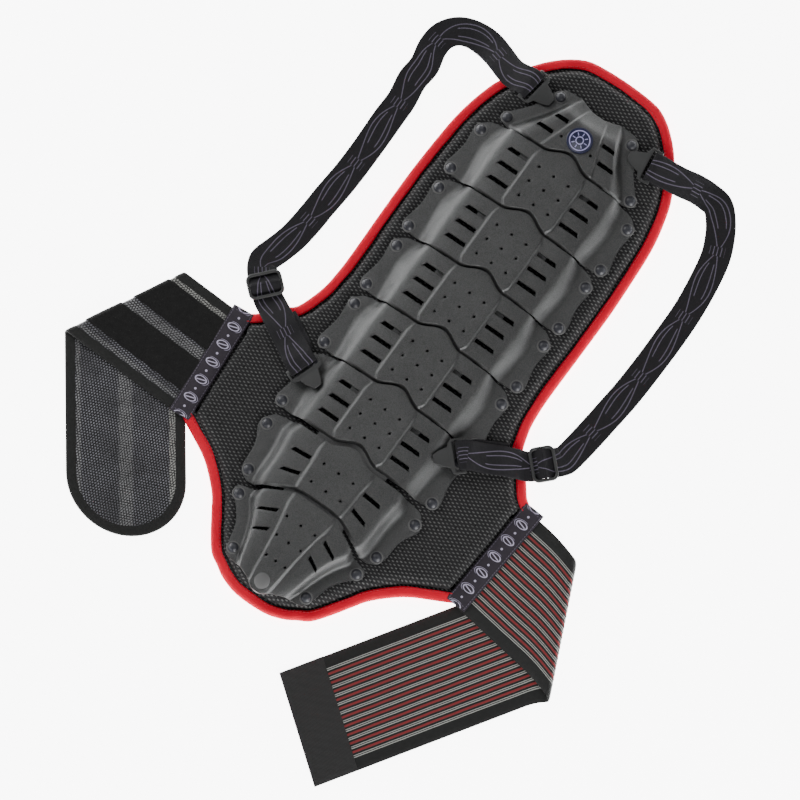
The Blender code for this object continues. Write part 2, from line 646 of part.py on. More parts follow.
def shoulder_strap(side_name, side, run, slide_place, slide_heading, lower_bar, lower_heading):
    """One elastic strap with its upper hook, slide and lower hook."""
    upper_bar = Vector((side * (0.445 * FLANGE_HALF + 6.5 * HOOK_BAR), FIRST_SEAM + 0.69 * PLATE_PITCH))
    upper_heading = 90 + side * (90 + 8)
    upper_height = FLANGE_TOP + TOUCH
    lower_height = FLANGE_TOP + RIVET_HEIGHT + WEBBING_THICKNESS + 4 * TOUCH
    hook(f"upper_hook_{side_name}", upper_bar, upper_heading, upper_height, TOUCH)
    tip = lower_bar + unit(lower_heading) * HOOK_STATIONS[-1][0] * HOOK_BAR
    rise = flank_height(abs(tip.x)) + HOOK_LIFT - lower_height
    hook(f"lower_hook_{side_name}", lower_bar, lower_heading, lower_height, rise)
    slide(f"strap_adjuster_{side_name}", slide_place, slide_heading)
    path = bar_loop(upper_bar, unit(upper_heading), upper_height, 2.5 * HOOK_BAR)
    for out, along, height in run:
        y = ramp(upper_bar.y, slide_place.y, along)
        path.append(Vector((side * out * STRAP_REACH, y, height * WEBBING_THICKNESS)))
    path += slide_weave(slide_place, unit(slide_heading))
    start = slide_place + unit(slide_heading) * SLIDE_LENGTH / 2
    loop = bar_loop(lower_bar, unit(lower_heading), lower_height, 0.9 * HOOK_BAR)[::-1]
    top = loop[0]
    reach = Vector((top.x, top.y)) - start
    above = []
    for along, height in LOWER_RUN:
        plan = start + reach * along
        above.append(Vector((plan.x, plan.y, height * top.z)))
    path += above
    path += loop
    fall = Vector((0, 0, WEBBING_THICKNESS + 2 * TOUCH))
    spread = across(unit(lower_heading)) * side * -0.12 * WEBBING_WIDTH
    for point in above[-2:2:-1]:
        path.append(point - fall + Vector((spread.x, spread.y, 0)))
    webbing(f"shoulder_strap_{side_name}", path)


def shoulder_straps():
    """Both straps; they lie differently, so each has its own run and hook places."""
    left_slide = Vector((-0.944 * STRAP_REACH, FIRST_SEAM - 3.70 * PLATE_PITCH))
    left_bar = Vector((-SHOULDER_HALF - 7.125 * HOOK_BAR, FIRST_SEAM - 4.36 * PLATE_PITCH))
    right_slide = Vector((0.855 * STRAP_REACH, FIRST_SEAM - 3.565 * PLATE_PITCH))
    right_bar = Vector((SHOULDER_HALF + 5.625 * HOOK_BAR, FIRST_SEAM - 4.15 * PLATE_PITCH))
    shoulder_strap("left", -1, LEFT_RUN, left_slide, -42, left_bar, -20)
    shoulder_strap("right", 1, RIGHT_RUN, right_slide, -135, right_bar, -136)


# Waist belt
def seam_points(side):
    """Upper and lower end of the seam between the pad and one half of the belt."""
    outline = inset(pad_outline(), BINDING_WALL)
    top = outline[SEAM_TOP_ROW]
    foot = outline[SEAM_FOOT_ROW]
    return Vector((side * top.x, top.y)), Vector((side * foot.x, foot.y))


class Fold:
    """A flat band folded under itself: plan coordinates on the flat band to points in space.

    The band starts at the seam and runs along heading. Beyond the crease, which crosses it
    crease_start along its upper edge at crease_heading, it turns under and lies on the surface.
    """

    def __init__(self, corner, heading, down, crease_start, crease_heading, radius, level):
        self.corner = corner
        self.forward = unit(heading)
        self.down = down
        self.crease = unit(crease_heading)
        self.crease_start = crease_start
        self.radius = radius
        self.level = level
        out = across(self.crease)
        self.out = out if out.dot(self.forward) > 0 else -out

    def plan(self, along, over):
        """Plan point of the band before it is folded."""
        return self.corner + self.forward * along + self.down * over

    def beyond(self, along, over):
        """Distance of a flat point beyond the crease."""
        return (self.plan(along, over) - self.plan(self.crease_start, 0)).dot(self.out)

    def reach(self, over, past):
        """Distance along the band at which a line over it lies this far beyond the crease."""
        return (past - self.beyond(0, over)) / self.forward.dot(self.out)

    def point(self, along, over, height):
        """Place in space of a flat point; height counts from the band's middle to its outer face."""
        flat = self.plan(along, over)
        past = self.beyond(along, over)
        turn = math.pi * self.radius
        if past <= 0:
            return Vector((flat.x, flat.y, self.level + self.radius + height))
        base = flat - self.out * past
        if past >= turn:
            flat = base - self.out * (past - turn)
            return Vector((flat.x, flat.y, self.level - self.radius - height))
        angle = past / self.radius
        flat = base + self.out * math.sin(angle) * (self.radius + height)
        return Vector((flat.x, flat.y, self.level + math.cos(angle) * (self.radius + height)))


def banded(name, fold, overs, last, height, wall, finish, start=TOUCH):
    """A band of the folded belt between two lines over it, from the seam to its own last row."""
    turn = math.pi * fold.radius
    rows = [[fold.point(start, over, height) for over in overs]]
    for step in range(7):
        rows.append([fold.point(fold.reach(over, turn * step / 6), over, height) for over in overs])
    for row in last:
        rows.append([fold.point(along, over, height) for along, over in row])
    part = add_part(name, grid_mesh(name, rows), finish)
    solidify(part, wall, 0)
    return part


def side_tape(name, side):
    """The ribbon over the seam between the pad and one half of the belt."""
    top, foot = seam_points(side)
    middle = (top + foot) / 2
    along = (top - foot).normalized() * TAPE_LENGTH / 2
    out = across(along.normalized()) * TAPE_WIDTH / 2
    outline = [middle + along + out, middle + along - out, middle - along - out, middle - along + out]
    prism_part(name, [(p.x, p.y) for p in outline], TAPE_BOTTOM, TAPE_BOTTOM + TAPE_THICKNESS, RIBBON)


def left_belt():
    """Mesh half of the belt: a bound panel with a round end, and two bands of loop pile on it."""
    top, foot = seam_points(-1)
    level = LOOP_BAND_WALL + TOUCH + MESH_WALL / 2 + LEFT_FOLD_RADIUS
    start = 0.576 * BELT_WIDTH
    fold = Fold(top, 178, (foot - top).normalized(), start, 240.6, LEFT_FOLD_RADIUS, level)
    half = BELT_WIDTH / 2
    centre = LEFT_BELT_LENGTH - half
    inner = BELT_BINDING_WIDTH + 2 * TOUCH
    turns = [math.radians(90 - angle) for angle in (90, 67.5, 45, 22.5)]
    overs = [inner, half, BELT_WIDTH - inner]

    def arc(radius, angle):
        return centre + radius * math.sin(angle), radius * math.cos(angle)

    rows = []
    for angle in turns:
        along, reach = arc(half - inner, angle)
        rows.append([(along, half - reach), (along, half), (along, half + reach)])
    banded("left_belt_mesh", fold, overs, rows, 0, MESH_WALL, BELT_MESH)

    bend = math.pi * fold.radius
    ring = []
    for over, inside in ((0, BELT_BINDING_WIDTH), (BELT_WIDTH, BELT_WIDTH - BELT_BINDING_WIDTH)):
        edge = [(fold.point(TOUCH, over, 0), fold.point(TOUCH, inside, 0))]
        for step in range(7):
            past = bend * step / 6
            edge.append((fold.point(fold.reach(over, past), over, 0),
                         fold.point(fold.reach(inside, past), inside, 0)))
        ring.append(edge)
    bow = []
    for i in range(9):
        angle = math.pi * i / 8
        outer = (centre + half * math.sin(angle), half - half * math.cos(angle))
        within = (centre + (half - BELT_BINDING_WIDTH) * math.sin(angle),
                  half - (half - BELT_BINDING_WIDTH) * math.cos(angle))
        bow.append((fold.point(*outer, 0), fold.point(*within, 0)))
    rows = ring[0] + bow + ring[1][::-1]
    part = add_part("left_belt_binding", grid_mesh("left_belt_binding", rows), LOOP_PILE)
    solidify(part, BELT_BINDING_WALL, 0)

    height = MESH_WALL / 2 + TOUCH + LOOP_BAND_WALL / 2
    for name, share in (("upper", 0.13), ("lower", 0.53)):
        lines = [share * BELT_WIDTH, share * BELT_WIDTH + LOOP_BAND_WIDTH]
        end = [[(centre, over) for over in lines]]
        banded(f"left_loop_band_{name}", fold, lines, end, height, LOOP_BAND_WALL, LOOP_PILE,
               TAPE_WIDTH / 2 + TOUCH)


def right_belt():
    """Elastic half of the belt, with a patch of hooks on the inner face of its end."""
    top, foot = seam_points(1)
    level = ELASTIC_WALL / 2 + RIGHT_FOLD_RADIUS + TOUCH / 2
    start = 0.525 * BELT_WIDTH
    fold = Fold(top, -8.5, (foot - top).normalized(), start, -66, RIGHT_FOLD_RADIUS, level)
    overs = [0, BELT_WIDTH / 2, BELT_WIDTH]
    end = [[(RIGHT_BELT_LENGTH, over) for over in overs]]
    banded("right_belt_elastic", fold, overs, end, 0, ELASTIC_WALL, ELASTIC)
    height = -(ELASTIC_WALL / 2 + TOUCH + PATCH_WALL / 2)
    rows = [[fold.point(along, over, height) for over in overs]
            for along in (RIGHT_BELT_LENGTH - PATCH_LENGTH, RIGHT_BELT_LENGTH)]
    part = add_part("right_belt_patch", grid_mesh("right_belt_patch", rows), LOOP_PILE)
    solidify(part, PATCH_WALL, 0)


foam_pad()
bindings()
armour()
shoulder_straps()
side_tape("side_tape_left", -1)
side_tape("side_tape_right", 1)
left_belt()
right_belt()
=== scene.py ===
"""Looks of the back protector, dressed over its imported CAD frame."""
import math

import bmesh
import bpy
import numpy as np
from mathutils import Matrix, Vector


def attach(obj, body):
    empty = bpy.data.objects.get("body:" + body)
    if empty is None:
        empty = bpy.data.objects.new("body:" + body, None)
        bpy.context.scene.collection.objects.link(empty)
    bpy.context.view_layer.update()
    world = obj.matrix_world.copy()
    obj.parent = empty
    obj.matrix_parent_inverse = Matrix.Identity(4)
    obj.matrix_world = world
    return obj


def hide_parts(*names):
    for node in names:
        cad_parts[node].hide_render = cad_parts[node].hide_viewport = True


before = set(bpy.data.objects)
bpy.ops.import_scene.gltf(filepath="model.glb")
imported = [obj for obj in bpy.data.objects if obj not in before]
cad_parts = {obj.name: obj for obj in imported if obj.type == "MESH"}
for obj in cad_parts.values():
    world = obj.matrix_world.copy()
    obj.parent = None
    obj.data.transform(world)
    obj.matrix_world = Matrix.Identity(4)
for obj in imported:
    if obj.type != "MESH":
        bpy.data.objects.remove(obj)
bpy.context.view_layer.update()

# Foam pad. A long piece of soft foam in knitted spacer mesh, cut to the outline of a back and
# pressed thin along its edge. It lies flat, and the armour, straps and belt are all fixed to it.
TOUCH = 0.0003
PAD_LENGTH = 0.5355
PAD_HALF_WIDTH = 0.140
PAD_TOP = 0.013
PAD_EDGE_ROUND = 0.010
RIM_BOTTOM = 0.0034
RIM_TOP = 0.0056
BINDING_WIDTH = 0.0085
BINDING_WALL = 0.0015
TAPE_WIDTH = 0.019
PAD_HALF_OUTLINE = (
    (0.145, 1.009), (0.305, 0.988), (0.475, 0.912), (0.612, 0.800), (0.668, 0.718), (0.706, 0.618),
    (0.723, 0.486), (0.730, 0.373), (0.728, 0.224), (0.724, 0.075), (0.728, 0.0), (0.745, -0.067),
    (0.80, -0.149), (0.871, -0.179), (0.93, -0.217), (0.972, -0.243), (1.050, -0.268),
    (1.000, -0.628), (0.914, -0.653), (0.857, -0.668), (0.714, -0.709), (0.571, -0.776),
    (0.50, -0.829), (0.429, -0.885), (0.357, -0.933), (0.286, -0.956), (0.214, -0.978), (0.093, -0.996))
SEAM_TOP_ROW = 16
SEAM_FOOT_ROW = 17
FILLING_FRAMES = 20
PAD_LOWEST = 0.0002


class Wire:
    """One shader socket. Operators on values add Math nodes to the material it belongs to."""

    def __init__(self, tree, socket=None):
        self.tree = tree
        self.socket = socket

    def node(self, kind, inputs=None, output=0, **settings):
        """Any other node: its settings, the values or links of its sockets, and one of its outputs."""
        made = self.tree.nodes.new(kind)
        for name, value in settings.items():
            setattr(made, name, value)
        for key, value in (inputs or {}).items():
            if isinstance(value, Wire):
                self.tree.links.new(value.socket, made.inputs[key])
            else:
                made.inputs[key].default_value = value
        return Wire(self.tree, made.outputs[output])

    def math(self, operation, *values):
        """A Math node on this value and others."""
        return self.node("ShaderNodeMath", dict(enumerate((self, *values))), operation=operation)

    def __add__(self, other):
        return self.math("ADD", other)

    __radd__ = __add__

    def __sub__(self, other):
        return self.math("SUBTRACT", other)

    def __rsub__(self, other):
        return (self * -1.0) + other

    def __mul__(self, other):
        return self.math("MULTIPLY", other)

    __rmul__ = __mul__

    def __truediv__(self, other):
        return self.math("DIVIDE", other)

    def smooth(self, low, high):
        """0 below low, 1 above high and a soft step between them."""
        sockets = {"Value": self, "From Min": low, "From Max": high}
        return self.node("ShaderNodeMapRange", sockets, interpolation_type="SMOOTHSTEP")

    def band(self, middle, half, soft):
        """1 within half of a value, fading out over soft."""
        away = (self - middle).math("ABSOLUTE")
        return 1.0 - away.smooth(half, half + soft)

    def repeat(self, pitch):
        """Distance from the middle of the nearest of its repeats."""
        return (self / pitch).math("FRACT") * pitch - pitch / 2

    def ribs(self, pitch, low, high):
        """0 along the middle of each of its repeats, rising to 1 between them."""
        return self.repeat(pitch).math("ABSOLUTE").smooth(low, high)

    def mix(self, first, second):
        """Colour between two others, with this value as the share of the second."""
        sockets = {0: self}
        for slot_number, colour in ((6, first), (7, second)):
            sockets[slot_number] = colour if isinstance(colour, Wire) else (*colour, 1.0)
        return self.node("ShaderNodeMix", sockets, output=2, data_type="RGBA")

    def xyz(self):
        """The three parts of a vector."""
        made = self.node("ShaderNodeSeparateXYZ", {0: self})
        outputs = made.socket.node.outputs
        return [Wire(self.tree, outputs[i]) for i in range(3)]

    def noise(self, scale, detail=3.0, rough=0.55):
        """Noise over a vector, 0 to 1."""
        sockets = {"Vector": self, "Scale": scale, "Detail": detail, "Roughness": rough}
        return self.node("ShaderNodeTexNoise", sockets)


class Finish:
    """A Principled material with its coordinates ready."""

    def __init__(self, name, roughness, metallic=0.0, sheen=0.0, coat=0.0, specular=0.5):
        self.material = bpy.data.materials.new(name)
        self.material.use_nodes = True
        self.tree = self.material.node_tree
        self.shader = self.tree.nodes["Principled BSDF"]
        constants = {"Roughness": roughness, "Metallic": metallic, "Sheen Weight": sheen,
                     "Coat Weight": coat, "Specular IOR Level": specular}
        for key, value in constants.items():
            self.shader.inputs[key].default_value = value
        root = Wire(self.tree)
        self.place = root.node("ShaderNodeTexCoord", output="Object")
        self.cloth = root.node("ShaderNodeTexCoord", output="UV")

    def set(self, key, wire):
        """Feed one of the shader's varying sockets."""
        self.tree.links.new(wire.socket, self.shader.inputs[key])

    def bump(self, height, depth):
        """Relief from a height of 0 to 1, depth metres deep."""
        sockets = {"Height": height, "Strength": 1.0, "Distance": depth}
        self.set("Normal", height.node("ShaderNodeBump", sockets))


def lattice_spots(x, y, step_x, step_y, long_half, short_half):
    """Soft oval spots on a staggered lattice: 1 in the middle of a spot."""
    spots = []
    for shift in (0.0, 0.5):
        across = (x / (2 * step_x) + shift).math("FRACT") - 0.5
        along = (y / step_y + shift).math("FRACT") - 0.5
        away = (across * (2 * step_x / long_half)).math("POWER", 2.0)
        away = away + (along * (step_y / short_half)).math("POWER", 2.0)
        spots.append(1.0 - away.smooth(0.25, 1.25))
    return spots[0].math("MAXIMUM", spots[1])


def spacer_mesh():
    """Charcoal knit with staggered light loops along X, and open cells here and there, painted near black as
    shade inside them.
    """
    cloth = Finish("spacer_mesh", 0.85, sheen=0.08, specular=0.25)
    warp = cloth.place.noise(60.0, 1.0) - 0.5
    x, y, _ = cloth.place.xyz()
    x = x + warp * 0.0009
    y = y + warp * 0.0009
    loops = lattice_spots(x, y, 0.00305, 0.0034, 0.00135, 0.00062)
    shaded_cells = lattice_spots(x + 0.0015, y + 0.0017, 0.0061, 0.0102, 0.00085, 0.00085)
    chance = cloth.place.noise(210.0, 0.0).smooth(0.43, 0.47)
    shaded_cells = shaded_cells * chance
    patch = cloth.place.noise(340.0, 2.0)
    bright = loops * (0.15 + patch * 1.2)
    ground = cloth.place.noise(900.0, 2.0).mix((0.006, 0.006, 0.0065), (0.022, 0.022, 0.023))
    knit = bright.mix(ground, (0.135, 0.138, 0.135))
    # The open cells are real holes in the knit; their near black is painted shade inside the holes.
    cloth.set("Base Color", shaded_cells.mix(knit, (0.0015, 0.0015, 0.0015)))
    cloth.bump(loops * 0.8 - shaded_cells * 1.0 + patch * 0.2, 0.0007)
    return cloth.material


def turned(direction):
    """Plan direction to the left of another."""
    return Vector((-direction.y, direction.x))


def inset(outline, distance, closed=True, at_seams=None, further=0.0):
    """A clockwise outline moved inwards, with mitred corners."""
    count = len(outline)
    moved = []
    for i, point in enumerate(outline):
        before = outline[i - 1] if closed or i else point
        after = outline[(i + 1) % count] if closed or i < count - 1 else point
        first = (point - before).normalized() if point != before else (after - point).normalized()
        second = (after - point).normalized() if after != point else first
        inwards = -(turned(first) + turned(second)).normalized()
        depth = distance + (further * at_seams[i] if at_seams else 0.0)
        moved.append(point + inwards * depth / max(0.5, inwards.dot(-turned(first))))
    return moved


def flowing(points, steps):
    """A smooth curve through points, steps to each stretch."""
    points = [points[0] * 2 - points[1], *points, points[-1] * 2 - points[-2]]
    curve = []
    for a, b, c, d in zip(points, points[1:], points[2:], points[3:]):
        for step in range(steps):
            t = step / steps
            low = a * (-t + 2 * t * t - t ** 3) + b * (2 - 5 * t * t + 3 * t ** 3)
            high = c * (t + 4 * t * t - 3 * t ** 3) + d * (t ** 3 - t * t)
            curve.append((low + high) / 2)
    return curve + [points[-2]]


def pad_runs(steps):
    """The pad's edge, clockwise: over the neck between the seams, and round the tail."""
    half = [Vector((x * PAD_HALF_WIDTH, y * PAD_LENGTH / 2)) for x, y in PAD_HALF_OUTLINE]
    other = [Vector((-p.x, p.y)) for p in reversed(half)]
    foot = len(half) - SEAM_FOOT_ROW
    neck = other[len(half) - 1 - SEAM_TOP_ROW:] + half[:SEAM_TOP_ROW + 1]
    tail = half[SEAM_FOOT_ROW:] + other[:foot]
    return flowing(neck, steps), flowing(tail, steps)


def smoothed(mesh, angle):
    """Shade a mesh smooth, apart from edges that turn by more than an angle in degrees."""
    mesh.shade_smooth()
    mesh.set_sharp_from_angle(angle=math.radians(angle))


def new_piece(name, mesh, finish, smooth_angle=None):
    """Link a mesh to the scene as a piece, with its finish and its shading."""
    piece = bpy.data.objects.new(name, mesh)
    if finish is not None:
        mesh.materials.append(finish)
    bpy.context.scene.collection.objects.link(piece)
    if smooth_angle is not None:
        smoothed(mesh, smooth_angle)
    return piece


def lofted(name, sections, capped=True, closed_path=False):
    """A mesh through closed sections."""
    mesh = bpy.data.meshes.new(name)
    bm = bmesh.new()
    loops = [[bm.verts.new(point) for point in section] for section in sections]
    pairs = list(zip(loops, loops[1:]))
    if closed_path:
        pairs.append((loops[-1], loops[0]))
    for near, far in pairs:
        for i in range(len(near)):
            j = (i + 1) % len(near)
            bm.faces.new((near[i], near[j], far[j], far[i]))
    if capped and not closed_path:
        bm.faces.new(loops[0][::-1])
        bm.faces.new(loops[-1])
    bmesh.ops.recalc_face_normals(bm, faces=bm.faces)
    bm.to_mesh(mesh)
    bm.free()
    return mesh


def baked(piece):
    """Turn a piece's modifiers into its mesh."""
    graph = bpy.context.evaluated_depsgraph_get()
    mesh = bpy.data.meshes.new_from_object(piece.evaluated_get(graph))
    piece.modifiers.clear()
    piece.data = mesh
    return piece


def joined(name, *parts):
    """One mesh of several."""
    join = bmesh.new()
    for part in parts:
        join.from_mesh(part)
    mesh = bpy.data.meshes.new(name)
    join.to_mesh(mesh)
    join.free()
    return mesh


def corners_of(mesh):
    """A mesh's points as rows of three numbers."""
    flat = np.empty(len(mesh.vertices) * 3)
    mesh.vertices.foreach_get("co", flat)
    return flat.reshape(-1, 3)


def puffed(piece, voxel, pressure, cap, top):
    """Remesh a padded piece and let cloth under pressure fill it, as far as cap."""
    remesh = piece.modifiers.new("even", "REMESH")
    remesh.mode = "VOXEL"
    remesh.voxel_size = voxel
    baked(piece)
    rest = corners_of(piece.data)
    filled = rest
    cloth = piece.modifiers.new("fill", "CLOTH")
    cloth.settings.quality = 5
    cloth.settings.mass = 0.3
    cloth.settings.use_pressure = True
    cloth.settings.uniform_pressure_force = pressure
    cloth.settings.effector_weights.gravity = 0
    cloth.collision_settings.use_collision = False
    scene = bpy.context.scene
    for number in range(1, FILLING_FRAMES + 1):
        scene.frame_set(number)
    graph = bpy.context.evaluated_depsgraph_get()
    filled = corners_of(piece.evaluated_get(graph).data)
    piece.modifiers.clear()
    scene.frame_set(1)
    step = filled - rest
    length = np.linalg.norm(step, axis=1, keepdims=True)
    step *= np.minimum(1.0, cap / np.maximum(length, 1e-9))
    placed = rest + step
    placed[:, 2] = np.clip(placed[:, 2], PAD_LOWEST, top)
    piece.data.vertices.foreach_set("co", placed.ravel())
    finer = piece.modifiers.new("finer", "SUBSURF")
    finer.levels = 1
    finer.render_levels = 1
    return baked(piece)


def foam_pad():
    """The padded body inside the binding, and the thin pressed rim round it."""
    neck, tail = pad_runs(3)
    outline = neck + tail
    ends = {0, len(neck) - 1, len(neck), len(outline) - 1}
    at_seams = [1.0 if i in ends else 0.0 for i in range(len(outline))]
    groove = BINDING_WIDTH + 2 * TOUCH
    edge = BINDING_WALL + TOUCH
    under_tape = TAPE_WIDTH / 2 + edge + TOUCH - groove
    sections = []
    levels = ((1.0, 0.0), (0.55, 0.0), (0.14, 0.10), (0.02, 0.30), (0.0, 0.50), (0.05, 0.70),
              (0.20, 0.86), (0.50, 0.95), (1.0, 0.985))
    for share, height in levels:
        moved = inset(outline, groove + share * PAD_EDGE_ROUND, at_seams=at_seams, further=under_tape)
        sections.append([(p.x, p.y, height * PAD_TOP + TOUCH) for p in moved])
    pad = new_piece("foam_pad", lofted("foam_pad", sections), None)
    puffed(pad, voxel=0.0042, pressure=4.0, cap=0.0012, top=PAD_TOP)
    rim = []
    for distance, height in ((groove + PAD_EDGE_ROUND, RIM_BOTTOM), (edge, RIM_BOTTOM), (edge, RIM_TOP),
                             (groove + PAD_EDGE_ROUND, RIM_TOP)):
        further = under_tape if distance > edge else 0.0
        moved = inset(outline, distance, at_seams=at_seams, further=further)
        rim.append([(p.x, p.y, height) for p in moved])
    ring = lofted("pad_rim", [list(section) for section in zip(*rim)], closed_path=True)
    mesh = joined("foam_pad", pad.data, ring)
    mesh.materials.append(spacer_mesh())
    smoothed(mesh, 50)
    pad.data = mesh
    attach(pad, "root")
    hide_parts("back_pad")


foam_pad()


# Edge binding. A red woven tape, folded over the pad's rim and sewn through with red thread near
# its inner edge. One run goes over the neck and one round the tail, each ending under the side tapes.
BINDING_SEAM = 0.0013
PRESSED_END = 0.012


def red_tape():
    """Bright red twill tape with a soft sheen."""
    cloth = Finish("red_binding", 0.7, specular=0.15)
    u, v, _ = cloth.cloth.xyz()
    twill = (u + v).ribs(0.0011, 0.0001, 0.00045)
    rib = v.ribs(0.0006, 0.00005, 0.00025)
    patch = cloth.place.noise(90.0, 3.0)
    tone = patch.mix((0.66, 0.003, 0.024), (0.88, 0.006, 0.036))
    cloth.set("Base Color", (twill * 0.22).mix(tone, (0.45, 0.002, 0.014)))
    cloth.bump(twill * 0.5 + rib * 0.3 + cloth.place.noise(160.0) * 0.4, 0.00025)
    return cloth.material


def thread(name, colour):
    """Sewing thread of one colour, a little uneven."""
    cloth = Finish(name, 0.7, sheen=0.1)
    darker = tuple(part * 0.6 for part in colour)
    cloth.set("Base Color", cloth.place.noise(700.0).mix(darker, colour))
    cloth.bump(cloth.place.noise(2600.0), 0.0001)
    return cloth.material


def set_input(modifier, name, value):
    """Set a Geometry Nodes modifier's input by its socket's identifier."""
    for item in modifier.node_group.interface.items_tree:
        if item.item_type == "SOCKET" and item.in_out == "INPUT" and item.name == name:
            modifier[item.identifier] = value


def stitch_shape():
    """One stitch: a short rounded thread along Z of length 1, sized where it is sewn."""
    mesh = bpy.data.meshes.new("stitch_shape")
    bm = bmesh.new()
    rings = []
    turns = [k * math.pi / 3 for k in range(6)]
    for z, radius in ((-0.5, 0.10), (-0.38, 0.19), (0.0, 0.22), (0.38, 0.19), (0.5, 0.10)):
        corners = [(radius * math.cos(turn), radius * math.sin(turn), z) for turn in turns]
        rings.append([bm.verts.new(corner) for corner in corners])
    for near, far in zip(rings, rings[1:]):
        for i in range(6):
            bm.faces.new((near[i], near[(i + 1) % 6], far[(i + 1) % 6], far[i]))
    bm.faces.new(rings[0][::-1])
    bm.faces.new(rings[-1])
    bm.to_mesh(mesh)
    bm.free()
    return bpy.data.objects.new("stitch_shape", mesh)


def copies_tree(name, along_edges):
    """Geometry Nodes: one shape on each point, or at an even pitch along the edges, made real."""
    tree = bpy.data.node_groups.new(name, "GeometryNodeTree")
    face = tree.interface
    sockets = [("Geometry", "Geometry"), ("Shape", "Object"), ("Size", "Float"), ("Finish", "Material")]
    if along_edges:
        sockets.append(("Pitch", "Float"))
    for socket, kind in sockets:
        face.new_socket(socket, in_out="INPUT", socket_type=f"NodeSocket{kind}")
    face.new_socket("Geometry", in_out="OUTPUT", socket_type="NodeSocketGeometry")
    add = tree.nodes.new
    link = tree.links.new
    given = add("NodeGroupInput")
    shape = add("GeometryNodeObjectInfo")
    place = add("GeometryNodeInstanceOnPoints")
    real = add("GeometryNodeRealizeInstances")
    dye = add("GeometryNodeSetMaterial")
    done = add("NodeGroupOutput")
    if along_edges:
        curve = add("GeometryNodeMeshToCurve")
        upright = add("GeometryNodeSetCurveNormal")
        upright.mode = "Z_UP"
        points = add("GeometryNodeCurveToPoints")
        points.mode = "LENGTH"
        link(given.outputs["Geometry"], curve.inputs["Mesh"])
        link(curve.outputs["Curve"], upright.inputs["Curve"])
        link(upright.outputs["Curve"], points.inputs["Curve"])
        link(given.outputs["Pitch"], points.inputs["Length"])
        link(points.outputs["Points"], place.inputs["Points"])
        link(points.outputs["Rotation"], place.inputs["Rotation"])
    else:
        link(given.outputs["Geometry"], place.inputs["Points"])
    link(given.outputs["Shape"], shape.inputs["Object"])
    link(shape.outputs["Geometry"], place.inputs["Instance"])
    link(given.outputs["Size"], place.inputs["Scale"])
    link(place.outputs["Instances"], real.inputs["Geometry"])
    link(real.outputs["Geometry"], dye.inputs["Geometry"])
    link(given.outputs["Finish"], dye.inputs["Material"])
    link(dye.outputs["Geometry"], done.inputs["Geometry"])
    return tree


STITCH_TREE = copies_tree("stitching", True)
STITCH_SHAPE = stitch_shape()


def copied(name, points, edges, tree, inputs):
    """A piece that a tree makes from points and edges, with the tree's inputs by name."""
    mesh = bpy.data.meshes.new(name)
    mesh.from_pydata(points, edges, [])
    piece = new_piece(name, mesh, None)
    copies = piece.modifiers.new("copies", "NODES")
    copies.node_group = tree
    for key, value in inputs.items():
        set_input(copies, key, value)
    return baked(piece)


def stitched(name, paths, pitch, length, colour):
    """Rows of stitches along paths of points."""
    points = []
    edges = []
    for path in paths:
        start = len(points)
        points.extend(path)
        edges.extend((start + i, start + i + 1) for i in range(len(path) - 1))
    inputs = {"Shape": STITCH_SHAPE, "Pitch": pitch, "Size": length, "Finish": colour}
    seam = copied(name, points, edges, STITCH_TREE, inputs)
    seam.data.shade_smooth()
    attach(seam, "root")


def add_map(mesh, places):
    """Give a mesh a UV map from a flat place for each of its vertices, in metres."""
    layer = mesh.uv_layers.new(name="flat")
    for loop in mesh.loops:
        layer.data[loop.index].uv = places[loop.vertex_index]


def edge_binding():
    """Both runs of the red tape with their stitching."""
    low = RIM_BOTTOM - TOUCH - BINDING_WALL
    high = RIM_TOP + TOUCH + BINDING_WALL
    middle = (low + high) / 2
    wide = BINDING_WIDTH
    profile = (
        (wide, high - 0.0003), (wide - 0.0005, high + 0.0001), (wide * 0.72, high + 0.0003),
        (wide * 0.45, high + 0.0005), (0.0022, high + 0.0001), (0.0009, high - 0.0008),
        (0.0002, middle + 0.0011), (0.0, middle), (0.0002, middle - 0.0011), (0.0009, low + 0.0008),
        (0.0022, low), (wide * 0.5, low), (wide, low), (wide, low + 0.0008), (0.0024, low + BINDING_WALL),
        (0.0016, middle), (0.0024, high - BINDING_WALL), (wide, high - 0.0009))
    reach = [0.0]
    for a, b in zip(profile, profile[1:]):
        reach.append(reach[-1] + math.dist(a, b))
    neck, tail = pad_runs(4)
    runs = (("upper", neck[1:-1]), ("lower", tail[1:-1]))
    finish = red_tape()
    seams = []
    for name, run in runs:
        inner = inset(run, wide, closed=False)
        sections = []
        flat = []
        travelled = 0.0
        length = sum((b - a).length for a, b in zip(run, run[1:]))
        for i, (point, within) in enumerate(zip(run, inner)):
            if i:
                travelled += (point - run[i - 1]).length
            inwards = (within - point) / wide
            pressed = 0.70 + 0.30 * min(1.0, min(travelled, length - travelled) / PRESSED_END)
            wave = 0.00025 * math.sin(travelled * 95.0) + 0.0002 * math.sin(travelled * 231.0 + 1.0)
            section = []
            for depth, height in profile:
                place = point + inwards * (depth - wave * depth / wide)
                section.append((place.x, place.y, low + (height - low) * pressed + wave * 0.6))
            sections.append(section)
            flat.extend((along, travelled) for along in reach)
        mesh = lofted(f"edge_binding_{name}", sections)
        add_map(mesh, flat)
        piece = new_piece(mesh.name, mesh, finish, 60)
        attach(piece, "root")
        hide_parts(f"pad_binding_{name}")
        sewn = inset(run, wide - BINDING_SEAM, closed=False)[1:-1]
        seams.append([(p.x, p.y, high + 0.00035) for p in sewn])
    red = thread("red_thread", (0.62, 0.004, 0.024))
    stitched("binding_stitches", seams, pitch=0.0030, length=0.0021, colour=red)


edge_binding()


